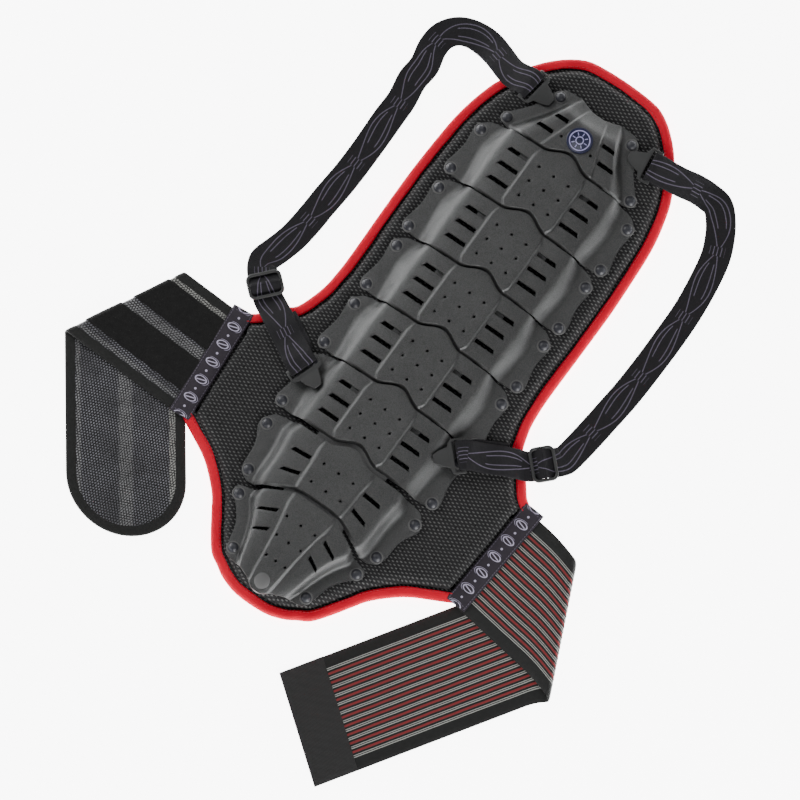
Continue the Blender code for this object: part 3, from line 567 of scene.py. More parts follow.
# Armour. Eight moulded plates of dark satin plastic run down the spine, each with a raised centre
# panel, slots and round vents. Every plate's tongue slips below the crested edge of the next one.
PLATE_PITCH = 0.060
PLATE_SEAM = 0.0012
FIRST_SEAM = 0.180
PLATE_WALL = 0.002
CROWN_HEIGHT = 0.011
PANEL_RISE = 0.0015
PANEL_STEP = 0.003
PANEL_HALF = 0.0255
CREST_RISE = 0.008
TONGUE_HALF = 0.034
TONGUE_LENGTH = 0.018
TONGUE_DROP = 0.0028
SHOULDER_HALF = 0.050
FLANGE_HALF = 0.080
SLOT_WIDTH = 0.0037
SLOT_SLANT = 0.002
VENT_HOLE = 0.0025
FLANGE_PINCH = 0.0017
FLANGE_TOP = PAD_TOP + 2 * TOUCH + PLATE_WALL
WING_TOP = FLANGE_TOP + CROWN_HEIGHT
LAST_SEAM = FIRST_SEAM - 5 * PLATE_PITCH
WAIST_SEAM = LAST_SEAM - 0.05 * PLATE_PITCH
TONGUE_HEIGHT = WING_TOP - TONGUE_DROP
TONGUE_COLUMNS = 5
FLANGE_COLUMN = 6
SHOULDER_SHARE = 0.89
VENT_SIDES = 20


def satin_plastic():
    """Neutral grey moulded plastic: a satin skin and fine grain."""
    skin = Finish("grey_plastic", 0.42, metallic=0.85, specular=0.5)
    grain = skin.place.noise(1300.0, 4.0, 0.8).smooth(0.25, 0.75)
    cloud = skin.place.noise(38.0, 4.0, 0.6)
    tone = cloud.mix((0.046, 0.047, 0.047), (0.076, 0.077, 0.077))
    skin.set("Base Color", (grain * 0.6).mix(tone, (0.152, 0.154, 0.154)))
    skin.set("Roughness", 0.29 + cloud * 0.10 + grain * 0.12)
    skin.bump(grain * 0.7 + cloud * 0.3, 0.00016)
    return skin.material


def ramp(a, b, share):
    """Value between two others."""
    return a + (b - a) * share


def crest(x):
    """Rise of a plate's upper edge over the raised centre panel."""
    return CREST_RISE * (1 + math.cos(math.pi * min(abs(x) / (PANEL_HALF * 0.88), 1))) / 2


def column_heights(rise, panel):
    """Heights of a row's columns, from the middle out to the flange."""
    wing = FLANGE_TOP + CROWN_HEIGHT * rise
    top = wing + PANEL_RISE * panel
    shoulder = ramp(FLANGE_TOP, wing, SHOULDER_SHARE)
    return [top, top, top, wing, wing, shoulder, FLANGE_TOP, FLANGE_TOP, FLANGE_TOP]


def upper_seam(number):
    """Place along the spine of the seam above a plate. The neck plate is placed from the one below it."""
    return {1: FIRST_SEAM, 7: WAIST_SEAM, 8: LAST_SEAM}.get(number, FIRST_SEAM - (number - 2) * PLATE_PITCH)


def with_tongue(rows):
    """Half rows whose last one drops to the tongue below the next plate."""
    rows[-1][:TONGUE_COLUMNS] = [(x, y, TONGUE_HEIGHT) for x, y, _ in rows[-1][:TONGUE_COLUMNS]]
    return rows


def back_plate_rows(top_seam):
    """Half rows of one of the five like plates, without their crest, and how far each follows it."""
    foot = {0.0: 0.74, 0.17: 0.79, 0.42: 0.82, 0.86: 0.785, 0.95: 0.78, 1.0: 0.775}
    outer = {0.0: 0.955, 0.17: 0.988, 0.42: 0.988, 0.86: 1.018, 0.95: 1.012, 1.0: 0.985}
    rows = []
    follows = []
    for share in foot:
        panel = PANEL_HALF * (0.92 if share < 0.1 else 1.0 if share < 0.9 else 0.9)
        xs = [0, 0.45 * panel, panel - PANEL_STEP, panel, TONGUE_HALF, SHOULDER_HALF,
              foot[share] * FLANGE_HALF, 0, outer[share] * FLANGE_HALF]
        xs[7] = ramp(xs[6], xs[8], 0.65)
        ys = [top_seam - share * PLATE_PITCH] * len(xs)
        follow = 0.0
        if share == 0.0:
            follow = 1.0
            ys = [y - PLATE_SEAM / 2 for y in ys]
            ys[6] -= 0.01 * PLATE_PITCH
            ys[7] -= 0.05 * PLATE_PITCH
            ys[8] -= 0.13 * PLATE_PITCH
        if share > 0.5:
            follow = 0.8 if share < 0.9 else 1.0
            ys = [y + (PLATE_SEAM / 2 if share == 1.0 else 0.0) for y in ys]
            ys[7] += 0.01 * PLATE_PITCH
            ys[8] += (0.05 if share == 1.0 else 0.035 if share > 0.9 else 0.0) * PLATE_PITCH
        zs = column_heights(1.0, 0.3 if share == 0.0 else 1.0)
        rows.append(list(zip(xs, ys, zs)))
        follows.append(follow)
    return with_tongue(rows), follows, top_seam - PLATE_PITCH - TONGUE_LENGTH


def tapered_rows(top, bottom, shares, outer, rises, panels):
    """Half rows of a plate whose upper and lower edges differ: points are shares of FLANGE_HALF."""
    rows = []
    for share, edge, rise, panel in zip(shares, outer, rises, panels):
        half = []
        for column, (a, b) in enumerate(zip(top, bottom)):
            x = ramp(a[0], b[0], share) + edge * column / (len(top) - 1)
            half.append((x * FLANGE_HALF, ramp(a[1], b[1], share) * PLATE_PITCH))
        rows.append([(x, y, z) for (x, y), z in zip(half, column_heights(rise, panel))])
    return rows


def lifted(rows, height):
    """Rows moved along the spine."""
    return [[(x, y + height, z) for x, y, z in row] for row in rows]


def neck_plate_rows():
    """Plate 1, narrow at the neck."""
    top = ((0, 0.85), (0.05, 0.85), (0.09, 0.86), (0.12, 0.87), (0.17, 0.89), (0.22, 0.915),
           (0.27, 0.925), (0.42, 0.915), (0.51, 0.81))
    bottom = ((0, 0.01), (0.14, 0.01), (0.28, 0.01), (0.319, 0.01), (0.425, 0.01), (0.53, 0.01),
              (0.69, 0.01), (0.75, 0.02), (0.81, 0.06))
    rows = tapered_rows(top, bottom, shares=(0.0, 0.15, 0.38, 0.84, 0.955, 1.0),
                        outer=(0.0, 0.01, 0.0, 0.05, 0.05, 0.0), rises=(0.1, 0.45, 0.93, 1.0, 1.0, 1.0),
                        panels=(0.2, 0.8, 1.0, 1.0, 1.0, 1.0))
    follows = [0.0, 0.0, 0.0, 0.8, 1.0, 1.0]
    return lifted(with_tongue(rows), FIRST_SEAM), follows, FIRST_SEAM - TONGUE_LENGTH


def waist_plate_rows():
    """Plate 7, whose sides taper to the tail."""
    top = ((0, -0.01), (0.14, -0.01), (0.28, -0.01), (0.319, -0.01), (0.39, -0.01), (0.60, -0.01),
           (0.73, -0.02), (0.90, -0.06), (0.955, -0.14))
    bottom = ((0, -0.785), (0.11, -0.785), (0.24, -0.80), (0.285, -0.81), (0.37, -0.86), (0.56, -0.985),
              (0.67, -1.045), (0.74, -1.05), (0.80, -1.02))
    rows = tapered_rows(top, bottom, shares=(0.0, 0.17, 0.45, 0.84, 0.955, 1.0),
                        outer=(0.0, 0.07, 0.045, 0.055, 0.04, 0.0), rises=(1.0,) * 6,
                        panels=(0.3, 1.0, 1.0, 1.0, 1.0, 1.0))
    tongue_end = WAIST_SEAM - 0.785 * PLATE_PITCH - 0.8 * TONGUE_LENGTH
    return lifted(with_tongue(rows), WAIST_SEAM), [1.0, 0.0, 0.0, 0.0, 0.0, 0.0], tongue_end


def tail_plate_rows():
    """Plate 8, the pointed tail, which slopes down to the pad."""
    top = ((0, -0.875), (0.11, -0.875), (0.23, -0.88), (0.27, -0.90), (0.35, -0.95), (0.53, -1.075),
           (0.62, -1.145), (0.71, -1.175), (0.79, -1.205))
    bottom = ((0, -2.30), (0.04, -2.30), (0.10, -2.26), (0.14, -2.21), (0.20, -2.18), (0.28, -2.14),
              (0.34, -2.12), (0.42, -2.11), (0.475, -2.09))
    rows = tapered_rows(top, bottom, shares=(0.0, 0.10, 0.30, 0.55, 0.85, 1.0),
                        outer=(0.0, 0.05, 0.0, -0.02, 0.0, 0.0), rises=(1.0, 1.0, 1.0, 0.95, 0.7, 0.45),
                        panels=(0.3, 1.0, 1.0, 1.0, 1.0, 0.6))
    return lifted(rows, LAST_SEAM), [0.0] * 6, None


def monotone(values, steps):
    """Values at steps between each pair of numbers, without overshooting them."""
    values = np.asarray(values, float)
    rises = np.diff(values, axis=0)
    slopes = np.zeros_like(values)
    product = rises[:-1] * rises[1:]
    total = rises[:-1] + rises[1:]
    slopes[1:-1] = np.where(product > 0, 2 * product / np.where(total == 0, 1, total), 0)
    slopes[0] = rises[0]
    slopes[-1] = rises[-1]
    finer = []
    for i in range(len(rises)):
        for step in range(steps):
            t = step / steps
            finer.append(values[i] * (1 + 2 * t) * (1 - t) ** 2 + slopes[i] * t * (1 - t) ** 2
                         + values[i + 1] * t * t * (3 - 2 * t) + slopes[i + 1] * t * t * (t - 1))
    finer.append(values[-1])
    return np.array(finer)


def rivet_seats(number):
    """Plan places of a plate's upper and lower rivet on its right side."""
    shares = {1: ((0.445, 0.78), (0.77, 0.125)), 7: ((0.925, -0.235), (0.80, -0.905)),
              8: ((0.735, -1.305), (0.455, -1.965))}.get(number, ((0.92, -0.225), (0.94, -0.905)))
    return [(x * FLANGE_HALF, upper_seam(number) + y * PLATE_PITCH) for x, y in shares]


def plate_mesh(name, rows, follows, tongue_end, seats, fine=6):
    """The plate, walled, with as many points as its curves need and its sides drawn in between rivets."""
    grid = monotone(np.array(rows), fine)
    grid = monotone(np.swapaxes(grid, 0, 1), fine)
    grid = np.swapaxes(grid, 0, 1)
    (_, upper), (_, lower) = seats
    between = np.clip((upper - grid[..., 1]) / (upper - lower), 0, 1)
    flange = np.clip((np.arange(grid.shape[1]) / fine - FLANGE_COLUMN) / 2, 0, 1)
    grid[..., 0] -= FLANGE_PINCH * flange * np.sin(math.pi * between) ** 2
    follow = monotone(follows, fine)
    mesh = bpy.data.meshes.new(name)
    bm = bmesh.new()
    lines = []
    for row, share in zip(grid, follow):
        half = [(x, y + share * crest(x), z) for x, y, z in row]
        whole = [(-x, y, z) for x, y, z in reversed(half[1:])] + half
        lines.append([bm.verts.new(point) for point in whole])
    if tongue_end is not None:
        skip = (len(rows[0]) - TONGUE_COLUMNS) * fine
        last = lines[-1][skip:len(lines[-1]) - skip]
        for step in range(1, 4):
            tongue = []
            for vert in last:
                height = vert.co.z - 0.0004 * (step == 3)
                tongue.append(bm.verts.new((vert.co.x, ramp(vert.co.y, tongue_end, step / 3), height)))
            lines.append(tongue)
    for upper, lower in zip(lines, lines[1:]):
        skip = (len(upper) - len(lower)) // 2
        upper = upper[skip:skip + len(lower)]
        for i in range(len(lower) - 1):
            bm.faces.new((upper[i], lower[i], lower[i + 1], upper[i + 1]))
    walled = bmesh.ops.extrude_face_region(bm, geom=bm.faces[:], use_keep_orig=True)
    under = [item for item in walled["geom"] if isinstance(item, bmesh.types.BMVert)]
    bmesh.ops.translate(bm, verts=under, vec=(0, 0, -PLATE_WALL))
    bmesh.ops.recalc_face_normals(bm, faces=bm.faces)
    bm.to_mesh(mesh)
    bm.free()
    return mesh


def vent_outlines(number, top_seam):
    """Plan outlines of one plate's slots and round vents."""
    half = SLOT_WIDTH / 2
    slots = []
    if number == 1:
        for inner, outer, row in ((0.281, 0.456, 0.275), (0.2125, 0.35, 0.515)):
            y = top_seam + row * PLATE_PITCH
            slots.append(((inner * FLANGE_HALF, y), (outer * FLANGE_HALF, y)))
        holes = [(0.57 * PANEL_HALF, top_seam + 0.29 * PLATE_PITCH)]
    elif number < 7:
        for row in (0.25, 0.485, 0.73):
            y = top_seam - row * PLATE_PITCH
            slots.append(((1.031 * PANEL_HALF, y), (ramp(TONGUE_HALF, SHOULDER_HALF, 0.594), y)))
        rows = (0.24, 0.48, 0.725)
        holes = [(x, top_seam - row * PLATE_PITCH) for row in rows for x in (0, 0.57 * PANEL_HALF)]
    else:
        ends = {7: (((0.33, -0.32), (0.53, -0.345)), ((0.33, -0.585), (0.51, -0.66))),
                8: (((0.29, -1.225), (0.455, -1.34)), ((0.255, -1.51), (0.385, -1.61)))}[number]
        slots = [[(x * FLANGE_HALF, top_seam + y * PLATE_PITCH) for x, y in pair] for pair in ends]
        rows = {7: ((-0.285, 0.57), (-0.59, 0.57)),
                8: ((-1.225, 0.55), (-1.515, 0.47), (-1.82, 0.37))}[number]
        holes = [(x * PANEL_HALF, top_seam + y * PLATE_PITCH) for y, side in rows for x in (0, side)]
    outlines = []
    for inner, outer in slots:
        corners = [(inner[0], inner[1] - half), (outer[0] + SLOT_SLANT, outer[1] - half),
                   (outer[0], outer[1] + half), (inner[0], inner[1] + half)]
        outlines += [corners, [(-x, y) for x, y in corners][::-1]]
    turn = 2 * math.pi / VENT_SIDES
    radius = VENT_HOLE / 2
    rim = [(radius * math.cos(k * turn), radius * math.sin(k * turn)) for k in range(VENT_SIDES)]
    for x, y in holes:
        for side in (1, -1) if x else (1,):
            outlines.append([(side * x + across, y + along) for across, along in rim])
    return outlines


def softened(piece, width, segments, turn, smooth_angle):
    """Round a piece's edges that turn by more than an angle in degrees, and shade it."""
    soften = piece.modifiers.new("soften", "BEVEL")
    soften.width = width
    soften.segments = segments
    soften.limit_method = "ANGLE"
    soften.angle_limit = math.radians(turn)
    baked(piece)
    smoothed(piece.data, smooth_angle)


def armour_plates():
    """The eight plates, walled, vented and with their edges softened."""
    finish = satin_plastic()
    unlike = {1: neck_plate_rows, 7: waist_plate_rows, 8: tail_plate_rows}
    for number in range(1, 9):
        top_seam = upper_seam(number)
        rows, follows, end = unlike[number]() if number in unlike else back_plate_rows(top_seam)
        name = f"armour_plate_{number}"
        plate = new_piece(name, plate_mesh(name, rows, follows, end, rivet_seats(number)), finish)
        cutter_mesh = bpy.data.meshes.new("vents")
        bm = bmesh.new()
        for outline in vent_outlines(number, top_seam):
            base = bm.faces.new([bm.verts.new((x, y, PAD_TOP + TOUCH)) for x, y in outline])
            base.normal_update()
            if base.normal.z > 0:
                base.normal_flip()
            raised = bmesh.ops.extrude_face_region(bm, geom=[base], use_keep_orig=True)
            tops_of = [item for item in raised["geom"] if isinstance(item, bmesh.types.BMVert)]
            bmesh.ops.translate(bm, verts=tops_of, vec=(0, 0, CROWN_HEIGHT + 3 * PLATE_WALL))
        bmesh.ops.recalc_face_normals(bm, faces=bm.faces)
        bm.to_mesh(cutter_mesh)
        bm.free()
        vents = bpy.data.objects.new("vents", cutter_mesh)
        bpy.context.scene.collection.objects.link(vents)
        pierce = plate.modifiers.new("vents", "BOOLEAN")
        pierce.operation = "DIFFERENCE"
        pierce.solver = "EXACT"
        pierce.object = vents
        softened(plate, width=0.00055, segments=2, turn=50, smooth_angle=38)
        bpy.data.objects.remove(vents)
        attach(plate, "root")
        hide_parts(f"plate_{number}")


armour_plates()


# Tail knob. A low round boss with a soft shoulder, moulded in one with the end of the last plate. It
# leans with the slope that the plate has there.
KNOB_RADIUS = 0.0088
KNOB_PLACE = LAST_SEAM - 2.155 * PLATE_PITCH
KNOB_HEIGHT = FLANGE_TOP + 0.60 * CROWN_HEIGHT
KNOB_SLOPE = 0.30


def turned_shape(name, profile, sides):
    """A mesh turned about Z through (radius, height) points, closed at its axis."""
    mesh = bpy.data.meshes.new(name)
    bm = bmesh.new()
    rings = []
    turns = [2 * math.pi * k / sides for k in range(sides)]
    for radius, height in profile:
        around = turns if radius else turns[:1]
        corners = [(radius * math.cos(turn), radius * math.sin(turn), height) for turn in around]
        rings.append([bm.verts.new(corner) for corner in corners])
    for near, far in zip(rings, rings[1:]):
        for i in range(sides):
            j = (i + 1) % sides
            face = [near[i % len(near)], near[j % len(near)], far[j % len(far)], far[i % len(far)]]
            bm.faces.new(list(dict.fromkeys(face)))
    bmesh.ops.recalc_face_normals(bm, faces=bm.faces)
    bm.to_mesh(mesh)
    bm.free()
    return bpy.data.objects.new(name, mesh)


def tail_knob():
    """The boss, leaning with the plate's slope."""
    profile = ((0, 0.30), (0.35, 0.285), (0.62, 0.23), (0.82, 0.13), (0.95, 0.0), (1.0, -0.18),
               (1.0, -0.45), (0, -0.45))
    shape = turned_shape("tail_knob", profile, 40)
    for vert in shape.data.vertices:
        x, y, z = vert.co * KNOB_RADIUS
        vert.co = Vector((x, KNOB_PLACE + y, KNOB_HEIGHT + z + KNOB_SLOPE * y))
    knob = new_piece("tail_knob", shape.data, bpy.data.materials["grey_plastic"], 50)
    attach(knob, "root")


tail_knob()


# Rivets. Domed heads of darker, shinier plastic hold each plate's four corners to the pad, each in a
# round boss that is moulded on the flange.
RIVET_HEAD = 0.0085
RIVET_HEIGHT = 0.0026
RIVET_SIDES = 28


def glossy_rivet():
    """Blue-grey plastic with a soft gloss."""
    skin = Finish("rivet_plastic", 0.38, specular=0.45)
    cloud = skin.place.noise(420.0, 2.0)
    skin.set("Base Color", cloud.mix((0.020, 0.021, 0.026), (0.042, 0.043, 0.052)))
    skin.set("Roughness", 0.32 + cloud * 0.16)
    skin.bump(cloud, 0.00006)
    return skin.material


def scattered(name, tree, points, shape, finish):
    """Copies of a turned shape on points, sized by the rivets' heads."""
    inputs = {"Shape": shape, "Size": RIVET_HEAD / 2, "Finish": finish}
    piece = copied(name, points, [], tree, inputs)
    smoothed(piece.data, 50)
    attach(piece, "root")
    return piece


def rivets():
    """All rivet heads, and the bosses round them."""
    seats = [seat for number in range(1, 9) for seat in rivet_seats(number)]
    places = [(side * x, y, FLANGE_TOP) for x, y in seats for side in (1, -1)]
    tree = copies_tree("fasteners", False)
    dome = ((0, 1.0), (0.18, 0.99), (0.38, 0.93), (0.58, 0.80), (0.76, 0.58), (0.90, 0.32), (1.0, 0.22),
            (1.0, 0.04), (0.9, 0.0), (0, 0.0))
    head = turned_shape("rivet_shape", dome, RIVET_SIDES)
    for vert in head.data.vertices:
        vert.co.z *= 2 * RIVET_HEIGHT / RIVET_HEAD
    heads = scattered("rivet_heads", tree, places, head, glossy_rivet())
    names = [f"rivet_{number}_{height}_{side}" for number in range(1, 9) for height in ("upper", "lower")
             for side in ("left", "right")]
    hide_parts(*names)
    collar = ((1.02, 0.0), (1.02, 0.05), (1.10, 0.07), (1.22, 0.07), (1.30, 0.05), (1.34, 0.0),
              (1.30, -0.05), (1.10, -0.05), (1.02, 0.0))
    boss = turned_shape("boss_shape", collar, RIVET_SIDES)
    scattered("rivet_bosses", tree, places, boss, bpy.data.materials["grey_plastic"])


rivets()


# Badge. A thin round disc set in the first plate, with a rim and a plain ray pattern of its own.
BADGE_RADIUS = 0.011
BADGE_PLACE = FIRST_SEAM + 0.38 * PLATE_PITCH


def badge_enamel():
    """Deep blue with pale lilac lines: two rings and eight short rays."""
    skin = Finish("badge", 0.3, specular=0.5, coat=0.4)
    x, y, _ = skin.place.xyz()
    y = y - BADGE_PLACE
    away = (x * x + y * y).math("SQRT")
    rings = away.band(0.0084, 0.00035, 0.00025).math("MAXIMUM", away.band(0.0031, 0.0003, 0.00025))
    turn = (y.math("ARCTAN2", x) * (8 / (2 * math.pi)) + 0.5).math("FRACT") - 0.5
    ray = 1.0 - (turn.math("ABSOLUTE") * away).smooth(0.00035, 0.0006)
    ray = ray * away.band(0.0056, 0.0012, 0.0003)
    lines = rings.math("MAXIMUM", ray)
    ground = skin.place.noise(160.0).mix((0.004, 0.006, 0.030), (0.010, 0.013, 0.055))
    skin.set("Base Color", lines.mix(ground, (0.40, 0.38, 0.66)))
    skin.bump(lines * 0.8 + skin.place.noise(900.0) * 0.1, 0.0002)
    return skin.material


def badge():
    """The disc with its raised rim."""
    bottom = WING_TOP + PANEL_RISE + TOUCH
    profile = ((0, 0.0), (0.97, 0.0), (1.0, 0.02), (1.0, 0.075), (0.97, 0.090), (0.91, 0.090),
               (0.88, 0.072), (0, 0.078))
    shape = turned_shape("badge_disc", profile, 64)
    for vert in shape.data.vertices:
        vert.co = vert.co * BADGE_RADIUS + Vector((0, BADGE_PLACE, bottom))
    disc = new_piece("badge_disc", shape.data, badge_enamel(), 40)
    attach(disc, "root")
    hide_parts("plate_badge")


badge()


# Shoulder straps. Black elastic webbing with a printed line pattern runs from a hook on the first
# plate, through a three-bar slide, round the lower hook's bar and back on itself.
WEBBING_WIDTH = 0.025
WEBBING_THICKNESS = 0.0012
STRAP_REACH = 0.152
HOOK_THICKNESS = 0.0022
HOOK_BAR = 0.004
SLIDE_LENGTH = 0.022
SLIDE_WIDTH = 0.030
SLIDE_THICKNESS = 0.0022
SLIDE_BAR = 0.003
SLIDE_LIFT = 0.0094
LEFT_SLIDE_HEADING = -42
RIGHT_SLIDE_HEADING = -135
PRINT_PITCH = 0.062
# From hook to slide: shares of the reach and of the way down, and heights in webbing thicknesses.
LEFT_RUN = (
    (0.530, 0.000, 11.5), (0.650, -0.025, 7.0), (0.740, -0.040, 3.0), (0.840, -0.040, 1.0),
    (0.920, -0.020, 1.0), (0.968, 0.020, 1.0), (0.975, 0.070, 1.2), (0.955, 0.130, 0.7),
    (0.962, 0.190, 0.7), (0.945, 0.260, 0.7), (0.945, 0.330, 0.7), (0.942, 0.440, 0.7),
    (0.944, 0.550, 0.7), (0.958, 0.660, 0.7), (0.968, 0.750, 0.7), (0.982, 0.820, 1.2),
    (1.008, 0.880, 2.6), (1.031, 0.928, 4.6), (1.022, 0.952, 5.8))
RIGHT_RUN = (
    (0.560, -0.015, 10.5), (0.650, -0.030, 6.0), (0.730, -0.035, 2.0), (0.800, -0.028, 0.8),
    (0.862, 0.010, 0.7), (0.912, 0.060, 0.7), (0.952, 0.120, 0.7), (0.980, 0.210, 0.7),
    (0.998, 0.310, 0.7), (1.002, 0.410, 0.7), (1.000, 0.520, 0.7), (0.992, 0.640, 0.7),
    (0.974, 0.750, 0.8), (0.958, 0.840, 1.5), (0.946, 0.900, 3.0),
    (0.9355, 0.9417, 4.6), (0.924, 0.956, 5.7))
# From slide to lower hook: shares of the way and of the hook's height.
LOWER_RUN = ((0.07, 0.36), (0.14, 0.44), (0.22, 0.56), (0.34, 0.67), (0.47, 0.74), (0.64, 0.77),
             (0.80, 0.87), (0.92, 0.975))


def printed_webbing():
    """Black elastic: fine cross ribs, firm edges, and long lilac loops printed down its middle."""
    cloth = Finish("webbing", 0.75, sheen=0.06, specular=0.25)
    u, v, _ = cloth.cloth.xyz()
    rib = v.ribs(0.0012, 0.0001, 0.0005)
    warp = u.ribs(0.0009, 0.00005, 0.0003)
    edge = u.math("ABSOLUTE").smooth(WEBBING_WIDTH / 2 - 0.0016, WEBBING_WIDTH / 2 - 0.0010)
    along = v.repeat(PRINT_PITCH)
    swing = (along * (math.pi / PRINT_PITCH)).math("COSINE")
    drift = (v * (2 * math.pi / PRINT_PITCH)).math("SINE") * 0.0012
    loop = (u - drift).math("ABSOLUTE") - swing * 0.0078
    outer = loop.band(0.0, 0.00032, 0.00025) * along.band(0.0, 0.0265, 0.001)
    inner = ((u - drift).math("ABSOLUTE") - swing * 0.0040).band(0.0, 0.00028, 0.00025)
    inner = inner * along.band(-0.004, 0.015, 0.001)
    between = (v + PRINT_PITCH / 2).repeat(PRINT_PITCH).band(0.0, 0.0036, 0.0004)
    dashes = between * (u - 0.0015).repeat(0.0032).band(0.0, 0.0003, 0.0002)
    dashes = dashes * u.band(0.0, 0.0062, 0.0002)
    lines = outer.math("MAXIMUM", inner).math("MAXIMUM", dashes) * (1.0 - edge)
    ground = cloth.place.noise(500.0, 2.0).mix((0.004, 0.004, 0.005), (0.012, 0.0115, 0.014))
    ground = (rib * 0.35).mix(ground, (0.017, 0.016, 0.019))
    fade = 0.45 + cloth.place.noise(300.0, 2.0) * 0.5
    cloth.set("Base Color", (lines * fade).mix(ground, (0.155, 0.135, 0.19)))
    cloth.bump(rib * 0.45 + warp * 0.2 + edge * 0.5 + lines * 0.25, 0.00022)
    return cloth.material


def heading(degrees):
    """Plan direction of a heading, counted from +X towards +Y."""
    return Vector((math.cos(math.radians(degrees)), math.sin(math.radians(degrees))))


def bar_loop(bar, forward, height, tail):
    """Path of the webbing round a hook's bar, from its tail below to the layer above."""
    gap = HOOK_THICKNESS / 2 + 2 * TOUCH + WEBBING_THICKNESS / 2
    middle = height + HOOK_THICKNESS / 2
    turn = HOOK_BAR / 2 + 2 * TOUCH + WEBBING_THICKNESS / 2
    profile = ((-tail, -gap), (turn * 0.69, -gap), (turn * 0.91, -gap * 0.87), (turn, -gap * 0.55),
               (turn, gap * 0.55), (turn * 0.91, gap * 0.87), (turn * 0.69, gap), (-turn, gap))
    return [Vector((*(bar + forward * along), middle + lift)) for along, lift in profile]


def slide_weave(centre, forward):
    """Path of the webbing through a slide: under its first bar, over the middle, under the last."""
    under = SLIDE_LIFT - TOUCH - WEBBING_THICKNESS / 2
    over = SLIDE_LIFT + SLIDE_THICKNESS + TOUCH + WEBBING_THICKNESS / 2
    inner = SLIDE_LENGTH / 2 - SLIDE_BAR - 2 * TOUCH
    middle = SLIDE_BAR / 2 + TOUCH
    profile = ((-SLIDE_LENGTH / 2, under), (-inner, under), (-middle, over), (middle, over),
               (inner, under), (SLIDE_LENGTH / 2, under))
    return [Vector((*(centre + forward * along), height)) for along, height in profile]


def strap_path(side, run, slide_place, slide_heading, lower_bar, lower_heading):
    """Points down the middle of one strap, as its solid has them."""
    upper_bar = Vector((side * (0.445 * FLANGE_HALF + 6.5 * HOOK_BAR), FIRST_SEAM + 0.69 * PLATE_PITCH))
    lower_height = FLANGE_TOP + RIVET_HEIGHT + WEBBING_THICKNESS + 4 * TOUCH
    path = bar_loop(upper_bar, heading(90 + side * 98), FLANGE_TOP + TOUCH, 2.5 * HOOK_BAR)
    for out, along, height in run:
        y = ramp(upper_bar.y, slide_place.y, along)
        path.append(Vector((side * out * STRAP_REACH, y, height * WEBBING_THICKNESS)))
    forward = heading(slide_heading)
    path += slide_weave(slide_place, forward)
    start = slide_place + forward * SLIDE_LENGTH / 2
    loop = bar_loop(lower_bar, heading(lower_heading), lower_height, 0.9 * HOOK_BAR)[::-1]
    reach = loop[0].to_2d() - start
    above = [Vector((*(start + reach * along), height * loop[0].z)) for along, height in LOWER_RUN]
    path += above + loop
    fall = Vector((0, 0, WEBBING_THICKNESS + 2 * TOUCH))
    spread = turned(heading(lower_heading)) * side * -0.12 * WEBBING_WIDTH
    return path + [point - fall + spread.to_3d() for point in above[-2:2:-1]]


def shell(name, middle, half_wall, flat):
    """A closed shell round a grid of points, half_wall to each side, with its flat places as UV.

    half_wall is one number, or one for each column of the grid.
    """
    middle = np.array(middle, float)
    normal = np.cross(np.gradient(middle, axis=0), np.gradient(middle, axis=1))
    normal /= np.maximum(np.linalg.norm(normal, axis=2, keepdims=True), 1e-12)
    shift = normal * np.broadcast_to(np.asarray(half_wall, float), middle.shape[:2])[..., None]
    verts = np.concatenate([(middle + shift).reshape(-1, 3), (middle - shift).reshape(-1, 3)])
    rows, columns = middle.shape[:2]
    numbers = np.arange(rows * columns).reshape(rows, columns)
    below = numbers + rows * columns
    faces = []
    for i in range(rows - 1):
        for j in range(columns - 1):
            faces.append((numbers[i, j], numbers[i + 1, j], numbers[i + 1, j + 1], numbers[i, j + 1]))
            faces.append((below[i, j], below[i, j + 1], below[i + 1, j + 1], below[i + 1, j]))
    for i in range(rows - 1):
        faces.append((numbers[i, 0], below[i, 0], below[i + 1, 0], numbers[i + 1, 0]))
        faces.append((numbers[i + 1, -1], below[i + 1, -1], below[i, -1], numbers[i, -1]))
    for j in range(columns - 1):
        faces.append((numbers[0, j + 1], below[0, j + 1], below[0, j], numbers[0, j]))
        faces.append((numbers[-1, j], below[-1, j], below[-1, j + 1], numbers[-1, j + 1]))
    mesh = bpy.data.meshes.new(name)
    mesh.from_pydata(verts.tolist(), [], [tuple(int(k) for k in face) for face in faces])
    places = np.array(flat, float).reshape(-1, 2)
    add_map(mesh, [tuple(place) for place in np.concatenate([places, places])])
    return mesh


ROUND_EDGE = ((0.0, 0.30), (0.012, 0.72), (0.035, 0.95), (0.08, 1.0))


def across_shares(count):
    """Shares across a band and its thickness there, with rounded edges."""
    inner = [(0.08 + 0.84 * i / count, 1.0) for i in range(1, count)]
    far = [(1.0 - share, thick) for share, thick in reversed(ROUND_EDGE)]
    return list(ROUND_EDGE) + inner + far


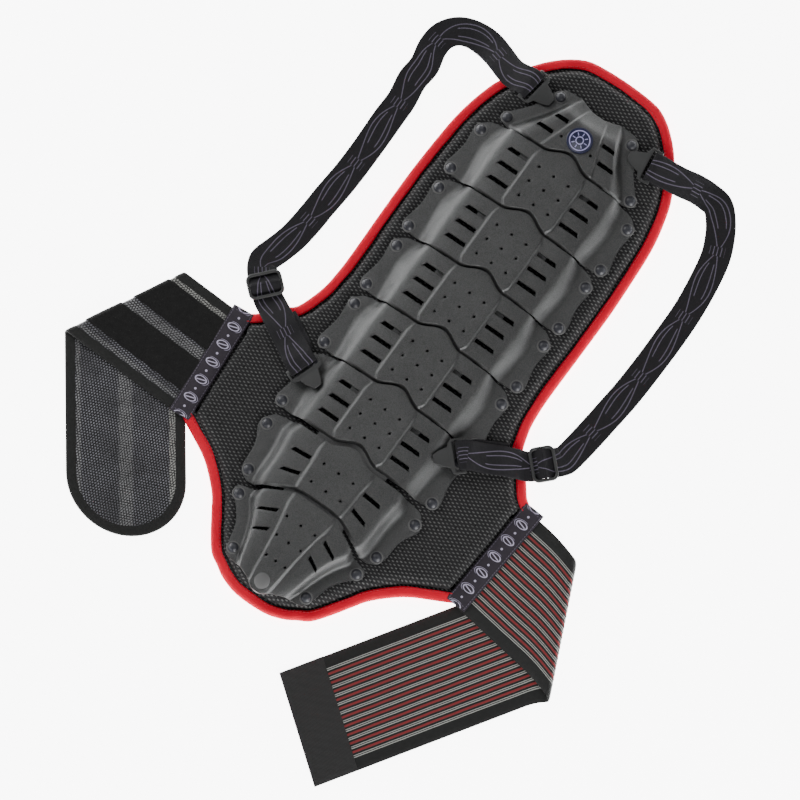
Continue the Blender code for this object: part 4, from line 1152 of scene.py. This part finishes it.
def strap(side_name, path, ripple):
    """One strap's webbing, its edges rippling where the elastic has relaxed."""
    fine = flowing(path, 8)
    directions = []
    side = None
    for i in range(len(fine)):
        before = fine[max(i - 3, 0)]
        after = fine[min(i + 3, len(fine) - 1)]
        run = (after - before).to_2d()
        if run.length > 0.45 * (after - before).length and run.length > 0.0006:
            edge = turned(run.normalized())
            side = edge if side is None or edge.dot(side) > 0 else -edge
        directions.append(side)
    first = next(d for d in directions if d is not None)
    directions = np.array([tuple(d or first) for d in directions])
    spread = 5
    lead = np.repeat(directions[:1], spread, 0)
    trail = np.repeat(directions[-1:], spread, 0)
    padded = np.concatenate([lead, directions, trail])
    even = np.array([padded[i:i + 2 * spread + 1].mean(0) for i in range(len(directions))])
    even /= np.linalg.norm(even, axis=1, keepdims=True)
    shares = across_shares(8)
    walls = [thick * WEBBING_THICKNESS / 2 for _, thick in shares]
    middle = []
    flat = []
    travelled = 0.0
    for i, point in enumerate(fine):
        if i:
            travelled += (point - fine[i - 1]).length
        row = []
        slack = ripple if 0.03 < travelled < 0.30 else 0.0
        for share, _ in shares:
            out = (share - 0.5) * WEBBING_WIDTH
            lift = slack * math.sin(travelled * 150.0 + 2.4 * share) * abs(2 * share - 1) ** 2
            widen = 1 + 0.35 * slack / WEBBING_WIDTH * math.sin(travelled * 97.0)
            row.append((point.x + even[i][0] * out * widen, point.y + even[i][1] * out * widen,
                        max(point.z + lift, 0.0008)))
            flat.append((out, travelled))
        middle.append(row)
    return shell(f"strap_{side_name}", middle, walls, flat)


LEFT_SLIDE = Vector((-0.944 * STRAP_REACH, FIRST_SEAM - 3.70 * PLATE_PITCH))
RIGHT_SLIDE = Vector((0.855 * STRAP_REACH, FIRST_SEAM - 3.565 * PLATE_PITCH))
LEFT_BAR = Vector((-SHOULDER_HALF - 7.125 * HOOK_BAR, FIRST_SEAM - 4.36 * PLATE_PITCH))
RIGHT_BAR = Vector((SHOULDER_HALF + 5.625 * HOOK_BAR, FIRST_SEAM - 4.15 * PLATE_PITCH))


def shoulder_straps():
    """Both straps; they lie differently."""
    finish = printed_webbing()
    places = (("left", -1, LEFT_RUN, LEFT_SLIDE, LEFT_SLIDE_HEADING, LEFT_BAR, -20, 0.0009),
              ("right", 1, RIGHT_RUN, RIGHT_SLIDE, RIGHT_SLIDE_HEADING, RIGHT_BAR, -136, 0.0004))
    for name, side, run, slide, slide_heading, bar, bar_heading, ripple in places:
        mesh = strap(name, strap_path(side, run, slide, slide_heading, bar, bar_heading), ripple)
        piece = new_piece(mesh.name, mesh, finish, 50)
        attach(piece, "root")
        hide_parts(f"shoulder_strap_{name}")


shoulder_straps()


# Hooks and slides. Moulded black plastic: four flat hooks that grip the plates' edges, and two
# three-bar slides that set the straps' length. Their edges are softly rounded from the mould.
SLIDE_CORNER = 0.0042
SLIDE_FRAME_BAR = 0.0027
OBLONG = 0.6


def moulded_black():
    """Charcoal plastic with a fine spark-eroded grain."""
    skin = Finish("black_plastic", 0.45, specular=0.45)
    grain = skin.place.noise(1300.0, 3.0, 0.7)
    cloud = skin.place.noise(70.0, 2.0)
    skin.set("Base Color", cloud.mix((0.026, 0.027, 0.027), (0.044, 0.045, 0.045)))
    skin.set("Roughness", 0.38 + grain * 0.18)
    skin.bump(grain, 0.00008)
    return skin.material


def rounded_bar(path, wide, thick, closed_path):
    """A bar of rounded oblong section along a path, lying flat."""
    sections = []
    count = len(path)
    for i, point in enumerate(path):
        before = path[i - 1] if closed_path or i else point
        after = path[(i + 1) % count] if closed_path or i < count - 1 else point
        side = turned((after - before).to_2d().normalized()).to_3d()
        section = []
        for k in range(12):
            turn = 2 * math.pi * k / 12
            across = math.copysign(abs(math.cos(turn)) ** OBLONG, math.cos(turn))
            above = math.copysign(abs(math.sin(turn)) ** OBLONG, math.sin(turn))
            section.append(tuple(point + side * across * wide / 2 + Vector((0, 0, above * thick / 2))))
        sections.append(section)
    return lofted("bar", sections, closed_path=closed_path)


def slides(finish):
    """Both slides: a frame with round corners, and a bar across its middle."""
    corner = SLIDE_CORNER
    half_long = SLIDE_LENGTH / 2 - SLIDE_FRAME_BAR / 2
    half_wide = SLIDE_WIDTH / 2 - SLIDE_FRAME_BAR / 2
    places = (("left", LEFT_SLIDE, LEFT_SLIDE_HEADING), ("right", RIGHT_SLIDE, RIGHT_SLIDE_HEADING))
    for name, centre, degrees in places:
        forward = heading(degrees)
        side = turned(forward)
        level = SLIDE_LIFT + SLIDE_THICKNESS / 2
        ring = []
        for quarter, (a, b) in enumerate(((1, 1), (-1, 1), (-1, -1), (1, -1))):
            for step in range(7):
                turn = math.pi / 2 * (quarter + step / 6)
                along = a * (half_long - corner) + corner * math.cos(turn)
                out = b * (half_wide - corner) + corner * math.sin(turn)
                ring.append(Vector((*(centre + forward * along + side * out), level)))
        bar = [Vector((*(centre + side * out * half_wide), level)) for out in (-1.0, -0.5, 0.0, 0.5, 1.0)]
        outer = rounded_bar(ring, SLIDE_FRAME_BAR, SLIDE_THICKNESS + 0.0006, True)
        inner = rounded_bar(bar, SLIDE_BAR * 0.85, SLIDE_THICKNESS * 0.9, False)
        mesh = joined(f"slide_{name}", outer, inner)
        piece = new_piece(mesh.name, mesh, finish, 60)
        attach(piece, "root")
        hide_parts(f"strap_adjuster_{name}")


def softened_hooks(finish):
    """Copies of the hooks' solids with rounded edges."""
    names = [f"{height}_hook_{side}" for height in ("upper", "lower") for side in ("left", "right")]
    for name in names:
        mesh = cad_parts[name].data.copy()
        bm = bmesh.new()
        bm.from_mesh(mesh)
        bmesh.ops.remove_doubles(bm, verts=bm.verts, dist=0.00002)
        bmesh.ops.dissolve_limit(bm, angle_limit=math.radians(2), verts=bm.verts, edges=bm.edges)
        bm.to_mesh(mesh)
        bm.free()
        mesh.materials.clear()
        piece = new_piece(f"moulded_{name}", mesh, finish)
        softened(piece, width=0.0005, segments=3, turn=35, smooth_angle=40)
        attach(piece, "root")
        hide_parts(name)


BLACK_PLASTIC = moulded_black()
slides(BLACK_PLASTIC)
softened_hooks(BLACK_PLASTIC)


# Side tapes. A woven ribbon covers each seam between the pad and the belt. It is sewn down along both
# long edges and across its ends, and carries a row of small plain marks.
TAPE_LENGTH = 0.103
TAPE_THICKNESS = 0.0008
TAPE_BOTTOM = RIM_TOP + 0.0007
MARK_PITCH = 0.0172


def woven_ribbon():
    """Dark plum ribbon with pale leaf marks and dots woven in by turns."""
    cloth = Finish("ribbon", 0.6, sheen=0.08, specular=0.3)
    u, v, _ = cloth.cloth.xyz()
    weft = v.ribs(0.0007, 0.0001, 0.0003)
    warp = u.ribs(0.0007, 0.0001, 0.0003)
    along = (v + 0.0085).repeat(MARK_PITCH)
    leaf = (u / 0.0050).math("POWER", 2.0) + (along / 0.0030).math("POWER", 2.0)
    outline = leaf.band(0.95, 0.16, 0.12)
    vein = (along - u * 0.25).band(0.0, 0.00035, 0.0002) * u.band(0.0, 0.0034, 0.0004)
    halo = leaf.band(1.85, 0.12, 0.15) * (u + along).smooth(-0.001, 0.002)
    dot = (u / 0.0010).math("POWER", 2.0) + (v.repeat(MARK_PITCH) / 0.0010).math("POWER", 2.0)
    dot = dot.smooth(0.7, 1.3)
    mark = outline.math("MAXIMUM", vein).math("MAXIMUM", halo * 0.6).math("MAXIMUM", 1.0 - dot)
    mark = mark * (v.math("ABSOLUTE").band(0.0, 0.0510, 0.0002))
    patch = cloth.place.noise(130.0, 3.0)
    ground = patch.mix((0.014, 0.011, 0.018), (0.032, 0.025, 0.034))
    ground = (weft * 0.3).mix(ground, (0.042, 0.033, 0.047))
    cloth.set("Base Color", mark.mix(ground, (0.50, 0.46, 0.60)))
    cloth.bump(weft * 0.4 + warp * 0.3 + mark * 0.5, 0.00018)
    return cloth.material


def seam_points(side):
    """Upper and lower end of the seam between the pad and one half of the belt."""
    half = [Vector((x * PAD_HALF_WIDTH, y * PAD_LENGTH / 2)) for x, y in PAD_HALF_OUTLINE]
    outline = inset(half + [Vector((-p.x, p.y)) for p in reversed(half)], BINDING_WALL)
    top = outline[SEAM_TOP_ROW]
    foot = outline[SEAM_FOOT_ROW]
    return Vector((side * top.x, top.y)), Vector((side * foot.x, foot.y))


def check_outwards(piece):
    """Turn a closed mesh the right way out if its volume is negative."""
    bm = bmesh.new()
    bm.from_mesh(piece.data)
    if bm.calc_volume(signed=True) < 0:
        bmesh.ops.reverse_faces(bm, faces=bm.faces)
        bm.to_mesh(piece.data)
    bm.free()


def ribbon_height(side, across, along):
    """Height of a ribbon's middle layer at shares of its width and its length."""
    bow = 0.0007 * math.sin(math.pi * across)
    wave = 0.00018 * math.sin(along * 21.0 + side) * math.sin(math.pi * across)
    return TAPE_BOTTOM + TAPE_THICKNESS / 2 + bow + wave


def side_tapes():
    """Both ribbons, slightly bowed over the seam, with their stitching."""
    finish = woven_ribbon()
    dark = thread("plum_thread", (0.10, 0.085, 0.12))
    lines = across_shares(10)
    walls = [thick * TAPE_THICKNESS / 2 for _, thick in lines]
    steps = 60
    edge_seams = [[(across, s / 20, 1.0, 0.96) for s in range(21)] for across in (0.08, 0.92)]
    end_seams = [[(s / 8, far, 0.84, 1.0) for s in range(9)] for far in (0.03, 0.97)]
    seams = []
    for name, side in (("left", -1), ("right", 1)):
        top, foot = seam_points(side)
        middle = (top + foot) / 2
        along = (top - foot).normalized()
        out = turned(along)
        rows = []
        flat = []
        for step in range(steps + 1):
            travel = (step / steps - 0.5) * TAPE_LENGTH
            row = []
            for share, _ in lines:
                reach = (share - 0.5) * TAPE_WIDTH
                place = middle + along * travel + out * reach
                row.append((place.x, place.y, ribbon_height(side, share, step / steps)))
                flat.append((side * reach, travel))
            rows.append(row)
        mesh = shell(f"side_ribbon_{name}", rows, walls, flat)
        piece = new_piece(mesh.name, mesh, finish, 50)
        check_outwards(piece)
        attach(piece, "root")
        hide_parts(f"side_tape_{name}")
        for line in edge_seams + end_seams:
            seam = []
            for across, far, narrowed, shortened in line:
                place = middle + along * (far - 0.5) * TAPE_LENGTH * shortened
                place = place + out * (across - 0.5) * TAPE_WIDTH * narrowed
                seam.append((*place, ribbon_height(side, across, far) + TAPE_THICKNESS / 2))
            seams.append(seam)
    stitched("ribbon_stitches", seams, pitch=0.0026, length=0.0019, colour=dark)


side_tapes()


# Plain floor. A wide, pale, matt sheet of paper that the whole object lies on. It belongs to the
# studio, and not to the protector.
def stage_floor():
    """The floor and its finish."""
    mesh = bpy.data.meshes.new("stage_floor")
    reach = 4.0
    mesh.from_pydata([(-reach, -reach, 0), (reach, -reach, 0), (reach, reach, 0), (-reach, reach, 0)], [],
                     [(0, 1, 2, 3)])
    paper = Finish("white_paper", 0.9, specular=0.2)
    paper.set("Base Color", paper.place.noise(3.0).mix((0.90, 0.90, 0.90), (0.93, 0.93, 0.93)))
    paper.shader.inputs["Emission Color"].default_value = (1.0, 1.0, 1.0, 1.0)
    paper.shader.inputs["Emission Strength"].default_value = 8.0
    floor = bpy.data.objects.new("stage_floor", mesh)
    mesh.materials.append(paper.material)
    bpy.context.scene.collection.objects.link(floor)


stage_floor()


# Left half of the belt. A two-layer mesh panel, bound all round with black tape and folded under
# itself, with two bands of loop pile sewn along its outer face for the other half to grip.
BELT_WIDTH = 0.099
BELT_BINDING_WIDTH = 0.0088
BELT_BINDING_WALL = 0.0024
MESH_WALL = 0.0016
LOOP_BAND_WIDTH = 0.029
LOOP_BAND_WALL = 0.0007
LEFT_BELT_LENGTH = 0.286
LEFT_FOLD_RADIUS = 0.0015
PANEL_RIPPLE = 0.00035
SAG_ABOVE = 0.030
SAG_BELOW = 0.020
LOFT_REACH = 0.045


class Fold:
    """A flat band folded under itself: places on the flat band to points in space.

    Near the crease the upper layer rises into a soft roll of its own radius, and may sag along it.
    """

    def __init__(self, corner, direction, down, crease_start, crease_heading, radius, level, roll, sag=0.0):
        self.corner = corner
        self.forward = heading(direction)
        self.down = down
        self.crease_start = crease_start
        self.radius = radius
        self.level = level
        self.roll = roll
        self.sag = heading(crease_heading) * sag
        out = turned(heading(crease_heading))
        self.out = out if out.dot(self.forward) > 0 else -out

    def plan(self, along, over):
        """Plan point of the band before it is folded."""
        return self.corner + self.forward * along + self.down * over

    def beyond(self, along, over):
        """Distance of a flat point beyond the crease."""
        return (self.plan(along, over) - self.plan(self.crease_start, 0)).dot(self.out)

    def reach(self, over, past):
        """Distance along the band at which a line over it lies this far beyond the crease."""
        return (past - self.beyond(0, over)) / self.forward.dot(self.out)

    def station(self, stage, share, over, start, end):
        """Distance along the band at a share of its stretch above, round or below the roll."""
        stops = (start, self.reach(over, 0.0), self.reach(over, math.pi * self.roll), end)
        return ramp(stops[stage], stops[stage + 1], share)

    def point(self, along, over, height):
        """Place in space of a flat point; height counts from the band's middle to its outer face."""
        flat = self.plan(along, over)
        past = self.beyond(along, over)
        low = self.level - self.radius
        outermost = math.pi * self.roll / 2
        fading = SAG_ABOVE if past < outermost else SAG_BELOW
        drawn = max(0.0, 1 - abs(past - outermost) / fading)
        flat = flat + self.sag * drawn * drawn
        if past <= 0:
            share = max(0.0, 1 + past / LOFT_REACH)
            rise = 2 * (self.roll - self.radius) * share * share * (3 - 2 * share)
            return (flat.x, flat.y, self.level + self.radius + rise + height)
        base = flat - self.out * past
        turn = math.pi * self.roll
        if past >= turn:
            flat = base - self.out * (past - turn)
            return (flat.x, flat.y, low - height)
        angle = past / self.roll
        flat = base + self.out * math.sin(angle) * (self.roll + height)
        return (flat.x, flat.y, low + self.roll + math.cos(angle) * (self.roll + height))


def band(name, fold, overs, walls, length, steps, height=0.0, start=TOUCH, ends=None, wave=None):
    """A shell over part of a folded belt. overs are its lines over the belt, ends their last places."""
    rows = []
    flat = []
    ends = ends or [length] * len(overs)
    for stage, count in enumerate(steps):
        for step in range(count if stage < 2 else count + 1):
            row = []
            for over, end in zip(overs, ends):
                along = fold.station(stage, step / count, over, start, end)
                lift = height + (wave(along, over) if wave else 0.0)
                row.append(fold.point(along, over, lift))
                flat.append((over, along))
            rows.append(row)
    return shell(name, rows, walls, flat)


def belt_mesh():
    """Black double mesh: fine slanting rows of pale dots, lighter stripes along the panel, and painted sheen
    on the dots.
    """
    cloth = Finish("belt_mesh", 0.5, sheen=0.05, specular=0.45)
    u, v, _ = cloth.cloth.xyz()
    slant = (u + v) * 0.7071
    counter = (u - v) * 0.7071
    dots = lattice_spots(slant, counter, 0.0014, 0.0038, 0.0010, 0.00058)
    under = lattice_spots(slant * 1.06 + counter * 0.05, counter * 1.05, 0.0013, 0.0030, 0.0009, 0.0006)
    stripe = (u - BELT_WIDTH * 0.5).band(0.0, 0.0042, 0.003)
    edge = u.band(0.0110, 0.0024, 0.0006).math("MAXIMUM", u.band(BELT_WIDTH - 0.0108, 0.0012, 0.0012) * 0.5)
    light = stripe * 0.40 + edge * 0.8
    # Painted sheen: soft noise patches that brighten the pale dots in the base colour.
    sheen = cloth.cloth.noise(28.0, 3.0, 0.6).smooth(0.3, 0.75)
    pale = dots * (0.30 + sheen * 0.55 + light * 0.6)
    pale = pale.math("MAXIMUM", under * light * 0.7)
    ground = light.mix((0.003, 0.003, 0.004), (0.016, 0.016, 0.015))
    thread_colour = light.mix((0.26, 0.26, 0.30), (0.34, 0.34, 0.31))
    cloth.set("Base Color", pale.mix(ground, thread_colour))
    cloth.bump(dots * 0.8 + under * 0.3, 0.00035)
    return cloth.material


def black_tape():
    """Black woven binding."""
    cloth = Finish("belt_binding", 0.75, sheen=0.06, specular=0.25)
    u, v, _ = cloth.cloth.xyz()
    weft = v.ribs(0.0008, 0.0001, 0.0003)
    warp = u.ribs(0.0008, 0.0001, 0.0003)
    patch = cloth.place.noise(420.0, 2.0)
    ground = patch.mix((0.007, 0.0075, 0.007), (0.016, 0.0165, 0.016))
    cloth.set("Base Color", (weft * 0.3).mix(ground, (0.020, 0.021, 0.020)))
    cloth.bump(weft * 0.5 + warp * 0.3 + cloth.place.noise(140.0) * 0.4, 0.0002)
    return cloth.material


def loop_pile():
    """Deep black brushed loops with a few grey ends."""
    cloth = Finish("loop_pile", 0.95, sheen=0.15, specular=0.15)
    fluff = cloth.place.noise(950.0, 4.0, 0.75)
    clump = cloth.place.noise(240.0, 3.0, 0.6)
    ends = fluff.smooth(0.58, 0.74)
    ground = clump.mix((0.005, 0.005, 0.005), (0.014, 0.014, 0.014))
    cloth.set("Base Color", (ends * 0.75).mix(ground, (0.055, 0.055, 0.052)))
    cloth.bump(fluff * 0.7 + clump * 0.5, 0.0009)
    return cloth.material


def side_pairs(fold, over, within, end):
    """Outer and inner points of the edge tape along one side of the belt."""
    pairs = []
    for stage, count in enumerate((24, 12, 60)):
        for step in range(count):
            places = [(fold.station(stage, step / count, line, TOUCH, end), line) for line in (over, within)]
            pairs.append(tuple(fold.point(along, line, 0.0) for along, line in places))
    return pairs


def end_pairs(fold, half, centre):
    """Outer and inner points of the edge tape round the belt's rounded end."""
    pairs = []
    for step in range(37):
        angle = math.pi * step / 36
        places = [(centre + radius * math.sin(angle), half - radius * math.cos(angle))
                  for radius in (half, half - BELT_BINDING_WIDTH)]
        pairs.append(tuple(fold.point(along, line, 0.0) for along, line in places))
    return pairs


def edge_tape(name, ring):
    """The padded tape through pairs of an outer and an inner point, rounded over its width."""
    shares = ((0.0, 0.30), (0.05, 0.75), (0.16, 1.0), (0.5, 1.08), (0.84, 1.0), (0.95, 0.75), (1.0, 0.35))
    rows = []
    flat = []
    travelled = 0.0
    for i, (outer, inner) in enumerate(ring):
        if i:
            travelled += math.dist(outer, ring[i - 1][0])
        outer = np.array(outer)
        inner = np.array(inner)
        rows.append([tuple(outer + (inner - outer) * share) for share, _ in shares])
        flat.extend((share * BELT_BINDING_WIDTH, travelled) for share, _ in shares)
    return shell(name, rows, [BELT_BINDING_WALL / 2 * thick for _, thick in shares], flat)


def left_belt():
    """The panel, its binding and the loop bands."""
    top, foot = seam_points(-1)
    level = LOOP_BAND_WALL + TOUCH + PANEL_RIPPLE + MESH_WALL / 2 + LEFT_FOLD_RADIUS
    fold = Fold(top, 178, (foot - top).normalized(), crease_start=0.566 * BELT_WIDTH, crease_heading=242.0,
                radius=LEFT_FOLD_RADIUS, level=level, roll=0.0021)
    half = BELT_WIDTH / 2
    centre = LEFT_BELT_LENGTH - half
    inside = BELT_BINDING_WIDTH - 0.0012
    overs = [inside + (BELT_WIDTH - 2 * inside) * i / 36 for i in range(37)]
    ends = [centre + math.sqrt(max((half - inside) ** 2 - (over - half) ** 2, 0.0)) for over in overs]

    def ripple(along, over):
        """Soft waves of the mesh between its sewn edges."""
        return PANEL_RIPPLE * math.sin(along * 52.0 + over * 31.0) * math.sin(math.pi * over / BELT_WIDTH)

    panel_mesh = band("belt_mesh_panel", fold, overs, MESH_WALL / 2, centre, ends=ends, steps=(30, 10, 90),
                      wave=ripple)
    panel = new_piece("belt_mesh_panel", panel_mesh, belt_mesh(), 60)
    check_outwards(panel)
    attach(panel, "root")
    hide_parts("left_belt_mesh")

    within = BELT_WIDTH - BELT_BINDING_WIDTH
    ring = side_pairs(fold, 0.0, BELT_BINDING_WIDTH, centre) + end_pairs(fold, half, centre)
    ring += side_pairs(fold, BELT_WIDTH, within, centre)[::-1]
    edging = new_piece("belt_edge_tape", edge_tape("belt_edge_tape", ring), black_tape(), 60)
    check_outwards(edging)
    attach(edging, "root")
    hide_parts("left_belt_binding")

    height = MESH_WALL / 2 + LOOP_BAND_WALL / 2
    pile = loop_pile()
    for name, share in (("upper", 0.13), ("lower", 0.53)):
        lines = across_shares(16)
        start = share * BELT_WIDTH
        walls = [thick * LOOP_BAND_WALL / 2 * 1.2 for _, thick in lines]
        across = [start + share_over * LOOP_BAND_WIDTH for share_over, _ in lines]
        mesh = band(f"loop_band_{name}", fold, across, walls, centre,
                    height=height, start=TAPE_WIDTH / 2 - 0.001, steps=(24, 10, 60),
                    wave=lambda along, over: ripple(along, over) + 0.0002)
        piece = new_piece(mesh.name, mesh, pile, 60)
        check_outwards(piece)
        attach(piece, "root")
        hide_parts(f"left_loop_band_{name}")


left_belt()


# Right half of the belt. Broad black elastic, knitted with raised ribs in grey and brick red, folded
# under itself, with a patch of hook tape on the inner face of its end.
ELASTIC_WALL = 0.002
RIGHT_BELT_LENGTH = 0.316
RIGHT_FOLD_RADIUS = 0.00175
PATCH_LENGTH = 0.038
PATCH_WALL = 0.0009
BORDER = 0.0098
RIB_COUNT = 11
RIB_PITCH = (BELT_WIDTH - 2 * BORDER) / (RIB_COUNT - 0.5)
RIB_RELIEF = 0.00022


def ribbed_elastic():
    """Black elastic with pairs of grey cords and single brick-red ribs, between plain borders."""
    cloth = Finish("elastic", 0.7, sheen=0.08, specular=0.3)
    u, v, _ = cloth.cloth.xyz()
    inside = u.band(BELT_WIDTH / 2, BELT_WIDTH / 2 - BORDER + 0.0002, 0.0002)
    wobble = (cloth.cloth.noise(26.0, 2.0) - 0.5) * 0.0007
    phase = (u - BORDER + wobble).repeat(RIB_PITCH) / RIB_PITCH
    grey = (phase + 0.25).math("ABSOLUTE")
    grey_cord = 1.0 - grey.smooth(0.135, 0.165)
    split = 1.0 - grey.smooth(0.035, 0.060)
    red = (phase - 0.25).math("ABSOLUTE")
    red_rib = 1.0 - red.smooth(0.105, 0.145)
    knit = v.ribs(0.0009, 0.00008, 0.0003)
    patch = cloth.place.noise(300.0, 2.0)
    ground = patch.mix((0.006, 0.0065, 0.006), (0.015, 0.0155, 0.015))
    shade = knit * 0.4 + patch * 0.3
    grey_tone = shade.mix((0.24, 0.245, 0.23), (0.50, 0.505, 0.47))
    red_tone = shade.mix((0.15, 0.016, 0.018), (0.32, 0.034, 0.036))
    colour = (grey_cord * (1.0 - split) * inside).mix(ground, grey_tone)
    colour = (red_rib * inside).mix(colour, red_tone)
    cloth.set("Base Color", colour)
    relief = (grey_cord * (1.0 - split * 0.6)).math("MAXIMUM", red_rib) * inside
    cloth.bump(relief * 0.8 + knit * 0.25, 0.0005)
    return cloth.material


def hook_tape():
    """Black hook tape: a field of tiny stiff hooks."""
    cloth = Finish("hook_tape", 0.6, specular=0.4)
    x, y, _ = cloth.place.xyz()
    hooks = lattice_spots(x, y, 0.0008, 0.0012, 0.0004, 0.0004)
    cloth.set("Base Color", hooks.mix((0.008, 0.008, 0.008), (0.045, 0.045, 0.045)))
    cloth.bump(hooks, 0.0006)
    return cloth.material


def right_belt():
    """The elastic and its patch."""
    top, foot = seam_points(1)
    level = ELASTIC_WALL / 2 + RIGHT_FOLD_RADIUS + TOUCH
    fold = Fold(top, -8.5, (foot - top).normalized(), crease_start=0.480 * BELT_WIDTH, crease_heading=-66,
                radius=RIGHT_FOLD_RADIUS, level=level, roll=0.0031, sag=0.0050)
    lines = across_shares(6 * RIB_COUNT)
    walls = []
    for share, thick in lines:
        over = share * BELT_WIDTH
        rib = 0.0
        if BORDER < over < BELT_WIDTH - BORDER:
            rib = RIB_RELIEF * math.cos(4 * math.pi * (over - BORDER) / RIB_PITCH + math.pi)
        walls.append(thick * ELASTIC_WALL / 2 + rib)
    elastic_mesh = band("belt_elastic", fold, [share * BELT_WIDTH for share, _ in lines], walls,
                        RIGHT_BELT_LENGTH, steps=(24, 16, 60))
    elastic = new_piece("belt_elastic", elastic_mesh, ribbed_elastic(), 60)
    check_outwards(elastic)
    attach(elastic, "root")
    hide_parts("right_belt_elastic")

    height = -(ELASTIC_WALL / 2 + PATCH_WALL / 2)
    lines = across_shares(20)
    steps = 16
    rows = []
    flat = []
    for step in range(steps + 1):
        along = RIGHT_BELT_LENGTH - PATCH_LENGTH + PATCH_LENGTH * step / steps
        rows.append([fold.point(along, share * BELT_WIDTH, height) for share, _ in lines])
        flat.extend((share * BELT_WIDTH, along) for share, _ in lines)
    walls = [thick * PATCH_WALL / 2 for _, thick in lines]
    patch = new_piece("belt_hook_patch", shell("belt_hook_patch", rows, walls, flat), hook_tape(), 60)
    check_outwards(patch)
    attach(patch, "root")
    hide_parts("right_belt_patch")


right_belt()


# Camera and light. The view is steep, from beyond the tail and a little to its right. Two broad, low
# softboxes light the plates from both sides, with a weak one overhead and an even pale surround.
VIEW_TURN = math.radians(35.2)
VIEW_DROP = math.radians(77.0)
VIEW_DISTANCE = 10.0
VIEW_WIDTH = 0.656
target = Vector((0.0016, -0.0556, 0.0))
look = Vector((-math.sin(VIEW_TURN) * math.cos(VIEW_DROP), math.cos(VIEW_TURN) * math.cos(VIEW_DROP),
               -math.sin(VIEW_DROP)))
lens = bpy.data.cameras.new("camera")
lens.sensor_width = 36.0
lens.lens = 18.0 / (VIEW_WIDTH / 2 / VIEW_DISTANCE)
lens.clip_end = 40.0
camera = bpy.data.objects.new("camera", lens)
camera.location = target - look * VIEW_DISTANCE
camera.rotation_euler = look.to_track_quat("-Z", "Y").to_euler()
bpy.context.scene.collection.objects.link(camera)
bpy.context.scene.camera = camera


def area_light(name, place, size, power):
    """A soft square light, aimed at the middle of the object."""
    lamp = bpy.data.lights.new(name, "AREA")
    lamp.shape = "SQUARE"
    lamp.size = size
    lamp.energy = power
    holder = bpy.data.objects.new(name, lamp)
    holder.location = place
    holder.rotation_euler = (-Vector(place)).to_track_quat("-Z", "Y").to_euler()
    bpy.context.scene.collection.objects.link(holder)


area_light("left softbox", (-1.7, 0.2, 0.9), size=1.2, power=30)
area_light("right softbox", (1.6, -1.0, 0.9), size=1.2, power=50)
area_light("overhead", (-0.3, 1.3, 1.9), size=1.0, power=6)
world = bpy.data.worlds.new("studio")
world.use_nodes = True
world.node_tree.nodes["Background"].inputs["Color"].default_value = (1.0, 1.0, 1.0, 1.0)
world.node_tree.nodes["Background"].inputs["Strength"].default_value = 0.17
bpy.context.scene.world = world
